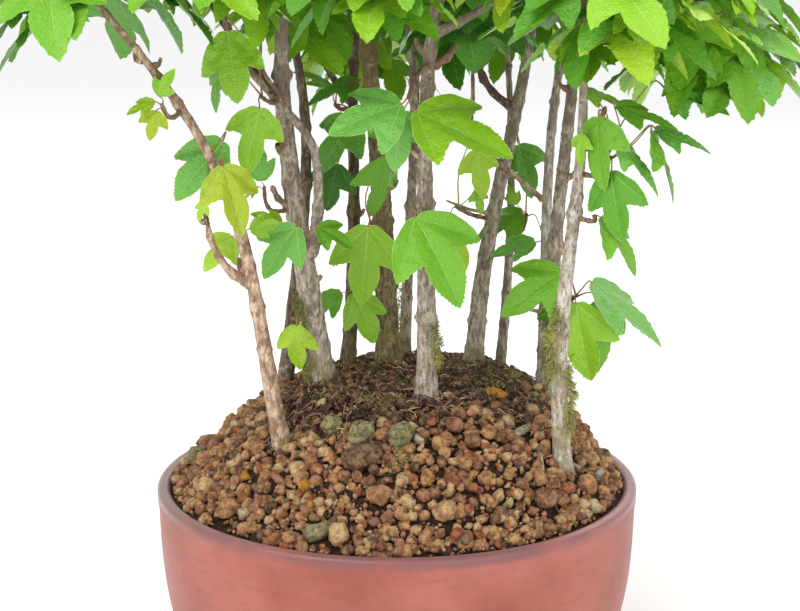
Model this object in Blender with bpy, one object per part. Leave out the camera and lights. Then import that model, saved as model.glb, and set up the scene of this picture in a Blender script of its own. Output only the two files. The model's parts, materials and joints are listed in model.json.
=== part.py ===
"""Trident maple bonsai: a group of twelve thin trunks on one root mound in a round clay pot.

The pot stands on the plane z = 0 with its axis on the z axis and its front towards -Y. Every
trunk is one tapering solid from a flat cut in the soil to its tip, every bough one tapering
limb, and every foliage mass one solid: a stem, its twigs, and leaves fused on. Sizes are in
millimetres and become metres only where a mesh is made.
"""
import math
import random

import bmesh
import bpy
from mathutils import Matrix, Vector, geometry
from mathutils.bvhtree import BVHTree

MM = 0.001
TOUCH_GAP = 0.3  # between two pieces that touch

# Pot: a round unglazed bowl, turned, with a rolled lip and a flat foot.
POT_RADIUS = 120.0
POT_HEIGHT = 95.0
POT_WALL = 5.5
POT_FLOOR = 7.0
POT_LIP_HEIGHT = 7.0
POT_LIP_PROUD = 0.8
POT_TAPER = 0.096  # share of the radius lost at POT_TAPER_DEPTH below the rim
POT_TAPER_DEPTH = 85.0
POT_SHOULDER = 9.0  # height of the rounded corner above the foot
POT_CORNER = 14.0  # how far the rounded corner runs in under the wall
POT_ROLL = 1.6  # rounding of the lip's edges
FLOOR_MARGIN = 6.0  # the floor meets the inner wall in a slope this wide
FOOT_HEIGHT = 8.0
FOOT_RADIUS = 84.0
DRAIN_RADIUS = 7.0
DRAIN_OFFSET = 38.0
DRAIN_SIDES = 12
POT_STEPS = 32

# Root mound: the soil swells from the rim to a broad crest behind the middle of the pot.
MOUND_HEIGHT = 48.0
MOUND_EDGE = -1.5  # height of the soil at the rim, from the rim's top
MOUND_CREST = (20.0, 40.0)
MOUND_FLATNESS = 4.0
MOUND_STEEPNESS = 1.7

# Lumps of the soil's surface: a spiral spaces them evenly, about 24 mm apart.
GOLDEN_ANGLE = 137.5
LUMP_PITCH = 12.6
LUMP_REACH = 101.0
LUMP_RISE = (3.0, 4.4)
LUMP_TOP = (4.4, 6.6)  # from a lump's middle to the corners of its top
LUMP_SLOPE = 3.2  # and from there to the corners of its foot
LUMP_SIDES = 4

# Trunks: foot x, foot y, rise, lean x, lean y, bow x, bow y, sway x, foot and tip diameter.
# The axis runs from the foot to foot + lean at the top. The bow swings it aside halfway up,
# and the sway swings it one way in the lower half and the other way in the upper half.
TRUNKS = {
    "trunk_left_front": (-55.5, -36.0, 215.0, -80.0, -18.0, 22.5, 0.0, -4.0, 9.0, 2.6),
    "trunk_left_back": (-59.5, 38.0, 222.0, -3.0, 14.0, 13.5, 4.0, -2.5, 8.8, 3.0),
    "trunk_left_main": (-38.0, 20.0, 255.0, -8.0, -14.0, -12.5, -2.0, 2.5, 14.2, 3.4),
    "trunk_middle_slim": (-26.5, 55.0, 240.0, 11.0, 10.0, -2.0, 4.0, 2.0, 8.4, 3.0),
    "trunk_middle_thick": (-4.5, 46.0, 278.0, -26.0, -6.0, 5.5, 0.0, 0.0, 13.6, 3.6),
    "trunk_middle_back": (4.0, 74.0, 247.0, -8.0, 16.0, 9.0, 5.0, -2.0, 7.0, 2.8),
    "trunk_middle_front": (14.5, -14.0, 258.0, 16.0, -18.0, -9.0, -3.0, 2.0, 10.8, 3.2),
    "trunk_right_leaning": (40.0, 45.0, 236.0, 33.0, 16.0, 2.0, 4.0, -3.0, 10.4, 3.0),
    "trunk_right_slim": (55.0, 62.0, 195.0, 2.0, 26.0, 5.0, 3.0, 0.0, 6.0, 2.4),
    "trunk_right_back": (76.0, 36.0, 247.0, 25.0, 18.0, -10.0, 4.0, 2.0, 7.4, 2.6),
    "trunk_right_main": (81.0, 14.0, 261.0, 3.0, -8.0, 0.0, 0.0, -3.5, 9.0, 3.4),
    "trunk_right_front": (81.0, -40.0, 223.0, 2.0, -22.0, -2.0, -2.0, -3.0, 9.8, 2.6),
}
TRUNK_SIDES = 6
TRUNK_RINGS = 11
ROOT_FLARE = 0.28  # how much wider the foot is than the stem above it
ROOT_FLARE_HEIGHT = 7.0
ROOT_LOBES = 3
ROOT_LOBE_DEPTH = 0.10
SOCKET_SHARE = 1.12  # a trunk's socket in the soil over its foot radius, and the ease added
SOCKET_EASE = 1.2
SOCKET_SIDES = 8
SOCKET_DEPTH = 30.0
FOOT_SINK = 1.5  # the flat cut lies this far under the lowest soil around it

# Boughs: the limb it leaves and how far up it, the headings (azimuth and elevation) that its
# axis turns through, length, diameter at each end. Azimuth 0 is +X (right), 90 is +Y (back).
BOUGHS = {
    "bough_left_front_low": ("trunk_left_front", 0.475, ((180, 28), (160, 58), (130, 80)), 34.0, 5.2, 2.4),
    "bough_left_main_second": (
        "trunk_left_main", 0.365, ((-42, 76), (-80, 80), (186, 52), (184, 50), (178, 84)), 138.0, 6.4, 2.6),
    "bough_left_main_side": ("trunk_left_main", 0.66, ((190, 52), (180, 60)), 64.0, 4.6, 2.2),
    "bough_middle_slim_left": ("trunk_middle_slim", 0.66, ((196, 52), (186, 72)), 46.0, 4.8, 2.2),
    "bough_middle_thick_front": ("trunk_middle_thick", 0.715, ((-76, 14), (-88, 34)), 86.0, 5.2, 2.2),
    "bough_middle_back_rear": ("trunk_middle_back", 0.60, ((84, 36), (96, 46)), 54.0, 4.4, 2.2),
    "bough_middle_front_right": ("trunk_middle_front", 0.755, ((-6, 22), (-20, 42)), 44.0, 5.6, 2.4),
    "bough_right_leaning_left": ("trunk_right_leaning", 0.64, ((178, 30), (170, 66), (160, 78)), 46.0, 4.8, 2.2),
    "bough_right_main_side": ("trunk_right_main", 0.75, ((-4, 54), (-10, 34)), 62.0, 4.0, 2.0),
}
BOUGH_SIDES = 6
BOUGH_RINGS = 6
SEAT_START = 0.8  # a side limb is tried from this share of its carrier's radius outwards
SEAT_STEP = 0.1
SEAT_TRIES = 40

# Low sprays: the limb and how far up it, the end of the stem from there, and the leaves. A
# leaf has its base from the stem's end, the way its tip points on a clock face seen from the
# front (0 right, 90 up), how far it leans forward and how far its blade is rolled about the
# midrib in degrees, and its length.
SPRAYS = {
    "spray_left_front_low": ("bough_left_front_low", 1.0, (5, -7, 12), (
        (3, 4, 25, -132, 12, 0, 36),
        (5, -9, 17, -70, 14, -15, 33),
        (-5, 3, -2, -114, 0, 20, 10),
    )),
    "spray_left_front_fork": ("trunk_left_front", 0.52, (-4, 14, 6), (
        (-4, 4, 1, -132, 10, 0, 22),
        (4, 8, 4, 15, 5, 30, 14),
    )),
    "spray_left_front_small": ("trunk_left_front", 0.81, (-8, -9, 4), (
        (-3, -1, 1, -160, 10, 15, 14),
        (-2, 2, 4, 55, 5, 20, 14),
        (-2, -2, -3, -105, 10, 0, 14),
    )),
    "spray_left_main_stub": ("trunk_left_main", 0.45, (-15, -7, 12), (
        (-1, -2, 3, 94, 6, 0, 18),
        (-3, 2, -1, -149, 0, 30, 10),
    )),
    "spray_left_main_knot": ("bough_left_main_second", 0.60, (-6, -22, 4), (
        (0, -5, -5, -103, 14, 0, 33),
        (-15, 2, 30, -81, 16, 0, 34),
        (-18, 12, 16, -105, 0, 45, 26),
    )),
    "spray_left_main_low": ("trunk_left_main", 0.40, (-2, -22, 6), (
        (2, -4, 2, -127, 14, 0, 30),
        (-6, 6, 2, 162, 0, 20, 16),
        (12, 4, 0, -23, 8, -10, 20),
    )),
    "spray_left_back_low": ("trunk_left_back", 0.26, (4, -14, 6), (
        (0, -2, -3, -90, 4, 20, 24),
    )),
    "spray_middle_slim_low": ("trunk_middle_slim", 0.23, (-1, -17, 6), (
        (3, -2, 1, -66, 12, 0, 28),
        (-4, 2, -1, -146, 6, 10, 20),
    )),
    "spray_middle_slim_mid": ("trunk_middle_slim", 0.64, (-9, -15, 4), (
        (11, -6, -7, -130, 8, 0, 36),
        (12, -2, 11, -166, 10, 25, 30),
        (1, 0, -31, -104, 0, 10, 26),
        (-2, 6, 6, 144, 0, 40, 22),
    )),
    "spray_middle_thick_low": ("trunk_middle_thick", 0.36, (-6, -17, 3), (
        (-1, -4, -2, -95, 14, 0, 40),
        (8, 2, 32, -99, 4, -50, 32),
    )),
    "spray_middle_front_low": ("trunk_middle_front", 0.45, (-5, -14, 3), (
        (0, -3, -3, -58, 16, 0, 47),
    )),
    "spray_middle_front_high": ("trunk_middle_front", 0.70, (-10, -24, -13), (
        (-3, -4, -2, -164, 20, 0, 36),
        (4, -8, -5, -23, 16, -10, 49),
        (-2, 3, -6, -99, 10, 0, 28),
    )),
    "spray_right_leaning_low": ("trunk_right_leaning", 0.41, (-20, -14, 9), (
        (-3, -2, -8, -76, 6, 0, 30),
        (11, -5, 9, -79, 4, 0, 13),
        (10, -8, 30, -79, 4, 0, 26),
    )),
    "spray_right_slim_low": ("trunk_right_slim", 0.47, (8, -12, 13), (
        (-2, -4, 0, -157, 8, 20, 28),
        (3, -8, -12, -167, 6, 20, 24),
        (-5, 5, 4, 112, 0, 0, 11),
        (-5, -1, 36, -74, 0, 0, 30),
    )),
    "spray_right_main_low": ("trunk_right_main", 0.32, (10, -20, 5), (
        (-8, -5, 13, -150, 16, 0, 36),
        (-5, 3, -3, -97, 6, 0, 27),
        (-1, -8, -2, -82, 10, 30, 40),
        (13, 3, -3, -94, 4, -30, 39),
        (7, -1, 6, -37, 8, -30, 47),
    )),
    "spray_right_front_low": ("trunk_right_front", 0.65, (8, -8, 2), (
        (3, -2, -1, -48, 10, -30, 31),
    )),
    "spray_right_front_mid": ("trunk_right_front", 0.73, (12, -10, 11), (
        (-5, 4, 16, -92, 12, 50, 33),
        (1, -5, -8, -83, 8, 45, 32),
        (4, 0, 6, -47, 10, -35, 32),
        (20, 8, 8, -62, 8, -50, 34),
        (23, 15, 8, -16, 6, -30, 28),
        (-12, 8, 8, -97, 4, 40, 15),
        (4, 8, 20, -20, 10, -30, 31),
        (28, 22, 26, -18, 10, -20, 32),
        (-11, 14, 27, -17, 5, -30, 24),
    )),
}

# Crown masses: the limb whose tip its stem meets, the middle of its space, the half sizes of
# that space, and how many twigs leave the stem.
CROWN = {
    "crown_left_front": ("trunk_left_front", (-142, -52, 344), (54, 46, 38), 4),
    "crown_left_back": ("trunk_left_back", (-92, 84, 362), (52, 48, 46), 5),
    "crown_left_main": ("trunk_left_main", (-66, -4, 410), (48, 46, 34), 4),
    "crown_middle_slim": ("trunk_middle_slim", (-34, 112, 376), (46, 42, 38), 5),
    "crown_top": ("trunk_middle_thick", (-22, 42, 434), (46, 44, 28), 5),
    "crown_middle_back": ("trunk_middle_back", (24, 104, 402), (46, 42, 34), 5),
    "crown_middle_front": ("trunk_middle_front", (20, -38, 414), (48, 44, 34), 4),
    "crown_right_leaning": ("trunk_right_leaning", (78, 84, 392), (46, 44, 36), 5),
    "crown_right_slim": ("trunk_right_slim", (80, 122, 326), (48, 42, 42), 4),
    "crown_right_back": ("trunk_right_back", (134, 56, 370), (46, 48, 40), 5),
    "crown_right_main": ("trunk_right_main", (72, 16, 424), (46, 44, 30), 5),
    "crown_right_front": ("trunk_right_front", (98, -78, 340), (48, 44, 38), 5),
    "crown_left_second": ("bough_left_main_second", (-88, -58, 352), (46, 44, 38), 5),
    "crown_left_side": ("bough_left_main_side", (-124, 22, 368), (48, 44, 38), 5),
    "crown_inner_left": ("bough_middle_slim_left", (-50, 50, 332), (36, 32, 30), 4),
    "crown_front": ("bough_middle_thick_front", (-16, -88, 356), (50, 42, 40), 5),
    "crown_rear": ("bough_middle_back_rear", (-16, 140, 314), (52, 38, 42), 4),
    "crown_front_right": ("bough_middle_front_right", (62, -66, 356), (40, 40, 34), 5),
    "crown_inner_right": ("bough_right_leaning_left", (34, 46, 328), (36, 34, 34), 4),
    "crown_right_side": ("bough_right_main_side", (150, -6, 312), (44, 48, 52), 5),
}
LEAF_LENGTH = 42.0
LEAF_SIZES = (0.8, 1.12)
LEAF_SPREAD = 0.92  # width over length
LEAF_THICK = 1.4
LEAF_SHOULDER = 0.42  # where along the blade it is widest
LEAF_FACE = Vector((0.1, -1.0, 0.9))  # the way the upper side of a low leaf is turned
LEAF_HANG = (0.25, 0.95)  # how far a crown leaf hangs for each unit that it points outwards
LEAF_SCATTER = 0.4
LEAF_TRIES = 8
LEAF_SHRINK = 0.04  # a leaf is this much shorter at each new try
LEAF_SITES = ((0.25, 1), (0.43, -1), (0.61, 1), (0.79, -1))  # back along the twig, and the hand
STEM_DIAMETER = 3.4
STEM_STUB = 3.0  # a stem leaves its limb straight for this far
STEM_LEAD = 9.0
STEM_STEPS = 4
STEM_TRIES = 40
STEM_SHIFT = 1.2
TWIG_DIAMETER = 2.4
TWIG_TAPER = 0.6
TWIG_RISE = (0.75, -0.6)  # from the highest of a mass's side twigs to the lowest
TWIG_REACH = (0.42, 0.66)  # share of the way to the edge of the mass's space
TWIG_ARCH = (-2.0, 6.0)
TWIG_TRIES = 4
PETIOLE = 13.0
PETIOLE_SIZES = (0.8, 1.3)
PETIOLE_DIAMETER = 1.1
PETIOLE_SWING = 52.0  # degrees between a twig and the petioles that leave its side
PETIOLE_CLEAR = 1.5  # clear width kept for a long petiole
ROOT_SINK = 2.5  # a blade's root lies this far back inside a long petiole
ROOT_CLEAR = 3.5  # a petiole is free of its twig this far from its node
SPRAY_TRIES = 13
SPRAY_STEP = 3.0
SKIN = 0.5  # clear space kept round every twig and leaf
SEED = 12


def heading(azimuth, elevation):
    """The unit vector at an azimuth and an elevation in degrees."""
    a = math.radians(azimuth)
    e = math.radians(elevation)
    return Vector((math.cos(a) * math.cos(e), math.sin(a) * math.cos(e), math.sin(e)))


def across(direction, toward):
    """The part of toward that is square to direction, as a unit vector."""
    side = toward - direction * toward.dot(direction)
    if side.length < 1e-6:
        side = direction.orthogonal()
    return side.normalized()


def mound(x, y):
    """Height of the soil's surface over the point x, y."""
    offset = Vector((x - MOUND_CREST[0], y - MOUND_CREST[1]))
    crest = Vector(MOUND_CREST)
    soil_radius = POT_RADIUS - POT_WALL
    step = offset.normalized() if offset.length > 1e-6 else Vector((1.0, 0.0))
    along = crest.dot(step)
    edge = math.sqrt(along * along - crest.length_squared + soil_radius ** 2) - along
    share = min(offset.length / edge, 1.0)
    swell = (1.0 - share ** MOUND_FLATNESS) ** MOUND_STEEPNESS
    return POT_HEIGHT + MOUND_EDGE + (MOUND_HEIGHT - MOUND_EDGE) * swell


def material(name, colour, roughness):
    """A plain Principled material in one colour."""
    made = bpy.data.materials.new(name)
    made.use_nodes = True
    shader = made.node_tree.nodes["Principled BSDF"]
    shader.inputs["Base Color"].default_value = (*colour, 1.0)
    shader.inputs["Roughness"].default_value = roughness
    made.diffuse_color = (*colour, 1.0)
    return made


def add_object(name, points, faces, finish=None):
    """A new object from points in millimetres and faces."""
    mesh = bpy.data.meshes.new(name)
    mesh.from_pydata([Vector(p) * MM for p in points], [], faces)
    mesh.validate()
    made = bpy.data.objects.new(name, mesh)
    bpy.context.scene.collection.objects.link(made)
    if finish:
        mesh.materials.append(finish)
    return made


def drop_object(thing):
    """Remove an object and the mesh it used."""
    mesh = thing.data
    bpy.data.objects.remove(thing)
    bpy.data.meshes.remove(mesh)


def smooth(thing, angle):
    """Shade smooth, with edges sharper than the angle kept."""
    thing.data.shade_smooth()
    thing.data.set_sharp_from_angle(angle=math.radians(angle))


def apply_boolean(thing, operation, others, solver="EXACT"):
    """Join or cut thing with every object of a list, then remove those objects."""
    group = bpy.data.collections.new("pieces")
    bpy.context.scene.collection.children.link(group)
    for other in others:
        for holder in list(other.users_collection):
            holder.objects.unlink(other)
        group.objects.link(other)
    step = thing.modifiers.new("join", "BOOLEAN")
    step.operation = operation
    step.operand_type = "COLLECTION"
    step.collection = group
    step.solver = solver
    seen = thing.evaluated_get(bpy.context.evaluated_depsgraph_get())
    result = bpy.data.meshes.new_from_object(seen)
    thing.modifiers.clear()
    old = thing.data
    thing.data = result
    bpy.data.meshes.remove(old)
    for other in others:
        drop_object(other)
    bpy.data.collections.remove(group)


# Pot and soil

def wall_radius(depth):
    """The outer radius of the pot's wall at a depth below the rim."""
    return POT_RADIUS * (1.0 - POT_TAPER * (depth / POT_TAPER_DEPTH) ** 3)


def pot_profile():
    """The pot's section from the middle of its floor round to the middle of its underside."""
    wall_foot = POT_HEIGHT - FOOT_HEIGHT - POT_SHOULDER
    depths = [POT_LIP_HEIGHT + (wall_foot - POT_LIP_HEIGHT) * i / 3 for i in range(4)]
    floor = FOOT_HEIGHT + POT_FLOOR
    inner = [(wall_radius(d) - POT_WALL, POT_HEIGHT - d) for d in reversed(depths)]
    lip = POT_RADIUS + POT_LIP_PROUD
    profile = [(0.0, floor), (inner[0][0] - FLOOR_MARGIN, floor)]
    profile += inner
    profile += [
        (POT_RADIUS - POT_WALL, POT_HEIGHT - POT_ROLL),
        (POT_RADIUS - POT_WALL + POT_ROLL, POT_HEIGHT),
        (lip - POT_ROLL, POT_HEIGHT),
        (lip, POT_HEIGHT - POT_ROLL),
        (lip, POT_HEIGHT - POT_LIP_HEIGHT + POT_ROLL),
    ]
    profile += [(wall_radius(d), POT_HEIGHT - d) for d in depths]
    corner = wall_radius(wall_foot)
    for turn in (30, 60):
        a = math.radians(turn)
        across_corner = corner - POT_CORNER * (1 - math.cos(a))
        profile.append((across_corner, FOOT_HEIGHT + POT_SHOULDER * (1 - math.sin(a))))
    profile += [
        (FOOT_RADIUS + 3.0, FOOT_HEIGHT),
        (FOOT_RADIUS + 1.0, FOOT_HEIGHT - 1.0),
        (FOOT_RADIUS, 1.0),
        (FOOT_RADIUS - 1.0, 0.0),
        (0.0, 0.0),
    ]
    return profile


def turned(name, profile, steps, finish):
    """A closed solid turned about the z axis from a profile that starts and ends on it."""
    points = [(0.0, 0.0, profile[0][1])]
    for radius, height in profile[1:-1]:
        for k in range(steps):
            a = 2 * math.pi * k / steps
            points.append((radius * math.cos(a), radius * math.sin(a), height))
    points.append((0.0, 0.0, profile[-1][1]))
    rings = len(profile) - 2
    last = len(points) - 1
    faces = []
    for k in range(steps):
        n = (k + 1) % steps
        faces.append((0, 1 + k, 1 + n))
        for r in range(rings - 1):
            low = 1 + r * steps
            faces.append((low + k, low + steps + k, low + steps + n, low + n))
        low = 1 + (rings - 1) * steps
        faces.append((low + k, last, low + n))
    return add_object(name, points, faces, finish)


def upright_cutter(x, y, bottom, top, radius, sides):
    """A cylinder that cuts from one height to another."""
    bpy.ops.mesh.primitive_cylinder_add(
        vertices=sides, radius=radius * MM, depth=(top - bottom) * MM,
        location=(x * MM, y * MM, (bottom + top) / 2 * MM))
    cutter = bpy.context.object
    cutter.data.transform(cutter.matrix_world)
    cutter.matrix_world = Matrix.Identity(4)
    return cutter


def make_pot(finish):
    """The bowl with its two drainage holes."""
    pot = turned("pot", pot_profile(), POT_STEPS, finish)
    through = FOOT_HEIGHT + POT_FLOOR + 1.0
    cutters = [
        upright_cutter(side * DRAIN_OFFSET, 0.0, -1.0, through, DRAIN_RADIUS, DRAIN_SIDES)
        for side in (-1, 1)]
    apply_boolean(pot, "DIFFERENCE", cutters)
    smooth(pot, 35)


def soil_lumps(feet):
    """The lumps of the soil's surface: middle, reach to its top's corners, rise and turn.

    A lump that a trunk's socket would cut has no rise, and only carries the surface there.
    """
    draw = random.Random(SEED)
    lumps = []
    for i in range(int((LUMP_REACH / LUMP_PITCH) ** 2)):
        distance = LUMP_PITCH * math.sqrt(i + 0.5)
        a = math.radians(GOLDEN_ANGLE * i)
        middle = Vector((distance * math.cos(a), distance * math.sin(a)))
        reach = draw.uniform(*LUMP_TOP)
        rise = draw.uniform(*LUMP_RISE)
        for x, y, _, radius in feet:
            if (middle - Vector((x, y))).length < reach + radius * SOCKET_SHARE + SOCKET_EASE:
                rise = 0.0
        lumps.append((middle, reach, rise, draw.uniform(0.0, math.pi)))
    return lumps


def lump_corners(lump, reach):
    """The corners of a lump at a distance from its middle."""
    middle, _, _, turn = lump
    corners = []
    for k in range(LUMP_SIDES):
        a = turn + 2 * math.pi * k / LUMP_SIDES
        corners.append(middle + Vector((math.cos(a), math.sin(a))) * reach)
    return corners


def make_soil(finish, feet):
    """The soil in the pot: its lumpy mound above, and a flat socket under each trunk's foot."""
    floor = FOOT_HEIGHT + POT_FLOOR + TOUCH_GAP
    wall_foot = POT_HEIGHT - FOOT_HEIGHT - POT_SHOULDER
    rings = [(wall_radius(wall_foot) - POT_WALL - TOUCH_GAP - FLOOR_MARGIN, floor)]
    for depth in (wall_foot, wall_foot * 0.6):
        rings.append((wall_radius(depth) - POT_WALL - 2 * TOUCH_GAP, POT_HEIGHT - depth))
    rings.append((POT_RADIUS - POT_WALL - TOUCH_GAP, POT_HEIGHT + MOUND_EDGE))
    points = [(0.0, 0.0, floor)]
    for radius, level in rings:
        for k in range(POT_STEPS):
            a = 2 * math.pi * k / POT_STEPS
            points.append((radius * math.cos(a), radius * math.sin(a), level))
    faces = []
    for k in range(POT_STEPS):
        n = (k + 1) % POT_STEPS
        faces.append((0, 1 + n, 1 + k))
        for r in range(len(rings) - 1):
            low = 1 + r * POT_STEPS
            faces.append((low + k, low + n, low + POT_STEPS + n, low + POT_STEPS + k))
    rim = len(points) - POT_STEPS
    for lump in soil_lumps(feet):
        _, reach, rise, _ = lump
        for corner in lump_corners(lump, reach + LUMP_SLOPE):
            points.append((*corner, mound(*corner)))
        if rise:
            for corner in lump_corners(lump, reach):
                points.append((*corner, mound(*corner) + rise))
    plan = [Vector(point[:2]) for point in points[rim:]]
    _, _, cover, origins, _, _ = geometry.delaunay_2d_cdt(plan, [], [], 0, 1e-6)
    for face in cover:
        faces.append(tuple(rim + origins[i][0] for i in face))
    soil = add_object("soil", points, faces, finish)
    cutters = []
    for x, y, level, radius in feet:
        seat = level - TOUCH_GAP
        wide = radius * SOCKET_SHARE + SOCKET_EASE
        cutters.append(upright_cutter(x, y, seat, seat + SOCKET_DEPTH, wide, SOCKET_SIDES))
    apply_boolean(soil, "DIFFERENCE", cutters)
    smooth(soil, 25)


# Limbs

class Limb:
    """A tapering limb: its axis as closely spaced points, and its radius at each."""

    def __init__(self, axis, radii):
        self.axis = axis
        self.radii = radii

    def at(self, share):
        """The point, the direction and the radius at a share of the limb's length."""
        place = share * (len(self.axis) - 1)
        i = min(int(place), len(self.axis) - 2)
        f = place - i
        point = self.axis[i].lerp(self.axis[i + 1], f)
        direction = (self.axis[i + 1] - self.axis[i]).normalized()
        return point, direction, self.radii[i] * (1 - f) + self.radii[i + 1] * f


def trunk_limb(row):
    """The axis and the radii of a trunk, from its row of sizes."""
    x, y, rise, lean_x, lean_y, bow_x, bow_y, sway_x, foot, tip = row
    flared = foot / 2 * (1 + ROOT_FLARE)
    around = [mound(x + flared * math.cos(a), y + flared * math.sin(a)) for a in range(6)]
    start = Vector((x, y, min(around) - FOOT_SINK))
    axis = []
    radii = []
    for i in range(TRUNK_RINGS):
        t = (i / (TRUNK_RINGS - 1)) ** 1.25
        bow = math.sin(math.pi * t)
        sway = math.sin(2 * math.pi * t)
        axis.append(start + Vector((
            lean_x * t + bow_x * bow + sway_x * sway,
            lean_y * t + bow_y * bow,
            rise * t)))
        stem = tip + (foot - tip) * (1 - t) ** 0.85
        flare = 1 + ROOT_FLARE * math.exp(-rise * t / ROOT_FLARE_HEIGHT)
        radii.append(stem / 2 * flare)
    return Limb(axis, radii)


def bough_axis(start, headings, length):
    """A bough's axis, which turns evenly through its headings."""
    turns = [heading(*pair) for pair in headings]
    step = length / (BOUGH_RINGS - 1)
    axis = [start.copy()]
    for i in range(BOUGH_RINGS - 1):
        place = (i + 0.5) / (BOUGH_RINGS - 1) * (len(turns) - 1)
        k = min(int(place), len(turns) - 2)
        axis.append(axis[-1] + turns[k].lerp(turns[k + 1], place - k).normalized() * step)
    return axis


def limb_mesh(limb, sides, start_normal, lobes=0.0):
    """Rings of points round a limb's axis, the first one square to start_normal, and faces."""
    count = len(limb.axis)
    points = []
    side = across(start_normal, Vector((1.0, 0.13, 0.21)))
    for i in range(count):
        before = limb.axis[max(i - 1, 0)]
        after = limb.axis[min(i + 1, count - 1)]
        direction = (after - before).normalized()
        if i == 0:
            direction = start_normal
        side = across(direction, side)
        other = direction.cross(side)
        height = (limb.axis[i] - limb.axis[0]).length
        for k in range(sides):
            a = 2 * math.pi * k / sides
            lobe = 1 + lobes * math.cos(ROOT_LOBES * a + limb.axis[0].x) * math.exp(
                -height / ROOT_FLARE_HEIGHT)
            ray = side * math.cos(a) + other * math.sin(a)
            points.append(limb.axis[i] + ray * limb.radii[i] * lobe)
    faces = [tuple(reversed(range(sides))), tuple(range((count - 1) * sides, count * sides))]
    for i in range(count - 1):
        for k in range(sides):
            n = (k + 1) % sides
            low = i * sides
            faces.append((low + k, low + n, low + sides + n, low + sides + k))
    return points, faces


def tree_of(points, faces):
    """A tree for finding which faces of two shapes cross."""
    return BVHTree.FromPolygons([Vector(p) for p in points], faces)


def seat(point, radial, radius, shape_at, wall):
    """Where a side limb starts along radial, so that its shape is a touch gap clear of a wall."""
    for push in range(SEAT_TRIES):
        start = point + radial * (radius * SEAT_START + TOUCH_GAP + SEAT_STEP * push)
        points, faces = shape_at(start)
        if not tree_of([p - radial * TOUCH_GAP for p in points], faces).overlap(wall):
            break
    return start


def bough_limb(start, headings, length, thick, thin):
    """A bough's axis and radii."""
    axis = bough_axis(start, headings, length)
    last = len(axis) - 1
    return Limb(axis, [(thick + (thin - thick) * (i / last) ** 0.8) / 2 for i in range(last + 1)])


def make_trunks(finish, limbs, shapes):
    """Each trunk, from a flat cut level with its foot to its tip."""
    for name, row in TRUNKS.items():
        limb = trunk_limb(row)
        points, faces = limb_mesh(limb, TRUNK_SIDES, Vector((0, 0, 1)), ROOT_LOBE_DEPTH)
        smooth(add_object(name, points, faces, finish), 50)
        limbs[name] = limb
        shapes[name] = (points, faces)


def make_boughs(finish, limbs, shapes):
    """Each bough, its first ring flat against the limb that carries it, a touch gap away."""
    for name, (carrier, share, headings, length, thick, thin) in BOUGHS.items():
        point, direction, radius = limbs[carrier].at(share)
        radial = across(direction, heading(*headings[0]))

        def shape_at(start):
            return limb_mesh(bough_limb(start, headings, length, thick, thin), BOUGH_SIDES, radial)

        start = seat(point, radial, radius, shape_at, tree_of(*shapes[carrier]))
        limbs[name] = bough_limb(start, headings, length, thick, thin)
        shapes[name] = shape_at(start)
        smooth(add_object(name, *shapes[name], finish), 50)


# Foliage

def leaf_shape(root, base, direction, normal, length, swell=0.0):
    """A leaf of six faces: its stalk runs from root to base, its blade on along direction."""
    up = across(direction, normal)
    side = up.cross(direction)
    half = length * LEAF_SPREAD / 2 + swell
    middle = base + direction * (length * LEAF_SHOULDER) - up * swell
    points = [
        root,
        middle + side * half,
        middle + up * (LEAF_THICK + swell * 2),
        middle - side * half,
        base + direction * (length + swell),
    ]
    return points, [(0, 1, 2), (0, 2, 3), (0, 3, 1), (4, 2, 1), (4, 3, 2), (4, 1, 3)]


def twig_shape(path, thick, thin, swell=0.0):
    """A three-sided twig along a path, from its thick end to its thin end."""
    count = len(path)
    points = []
    side = across((path[1] - path[0]).normalized(), Vector((0.31, 0.17, 1.0)))
    for i in range(count):
        direction = (path[min(i + 1, count - 1)] - path[max(i - 1, 0)]).normalized()
        side = across(direction, side)
        other = direction.cross(side)
        radius = (thick + (thin - thick) * i / (count - 1)) / 2 + swell
        for k in range(3):
            a = 2 * math.pi * k / 3
            points.append(path[i] + (side * math.cos(a) + other * math.sin(a)) * radius)
    faces = [(2, 1, 0), tuple(range((count - 1) * 3, count * 3))]
    for i in range(count - 1):
        for k in range(3):
            n = (k + 1) % 3
            faces.append((i * 3 + k, i * 3 + n, i * 3 + 3 + n, i * 3 + 3 + k))
    return points, faces


def add_shapes(shapes):
    """The points and faces of several shapes as one."""
    points = []
    faces = []
    for some_points, some_faces in shapes:
        base = len(points)
        points += some_points
        faces += [tuple(base + i for i in face) for face in some_faces]
    return points, faces


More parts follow.
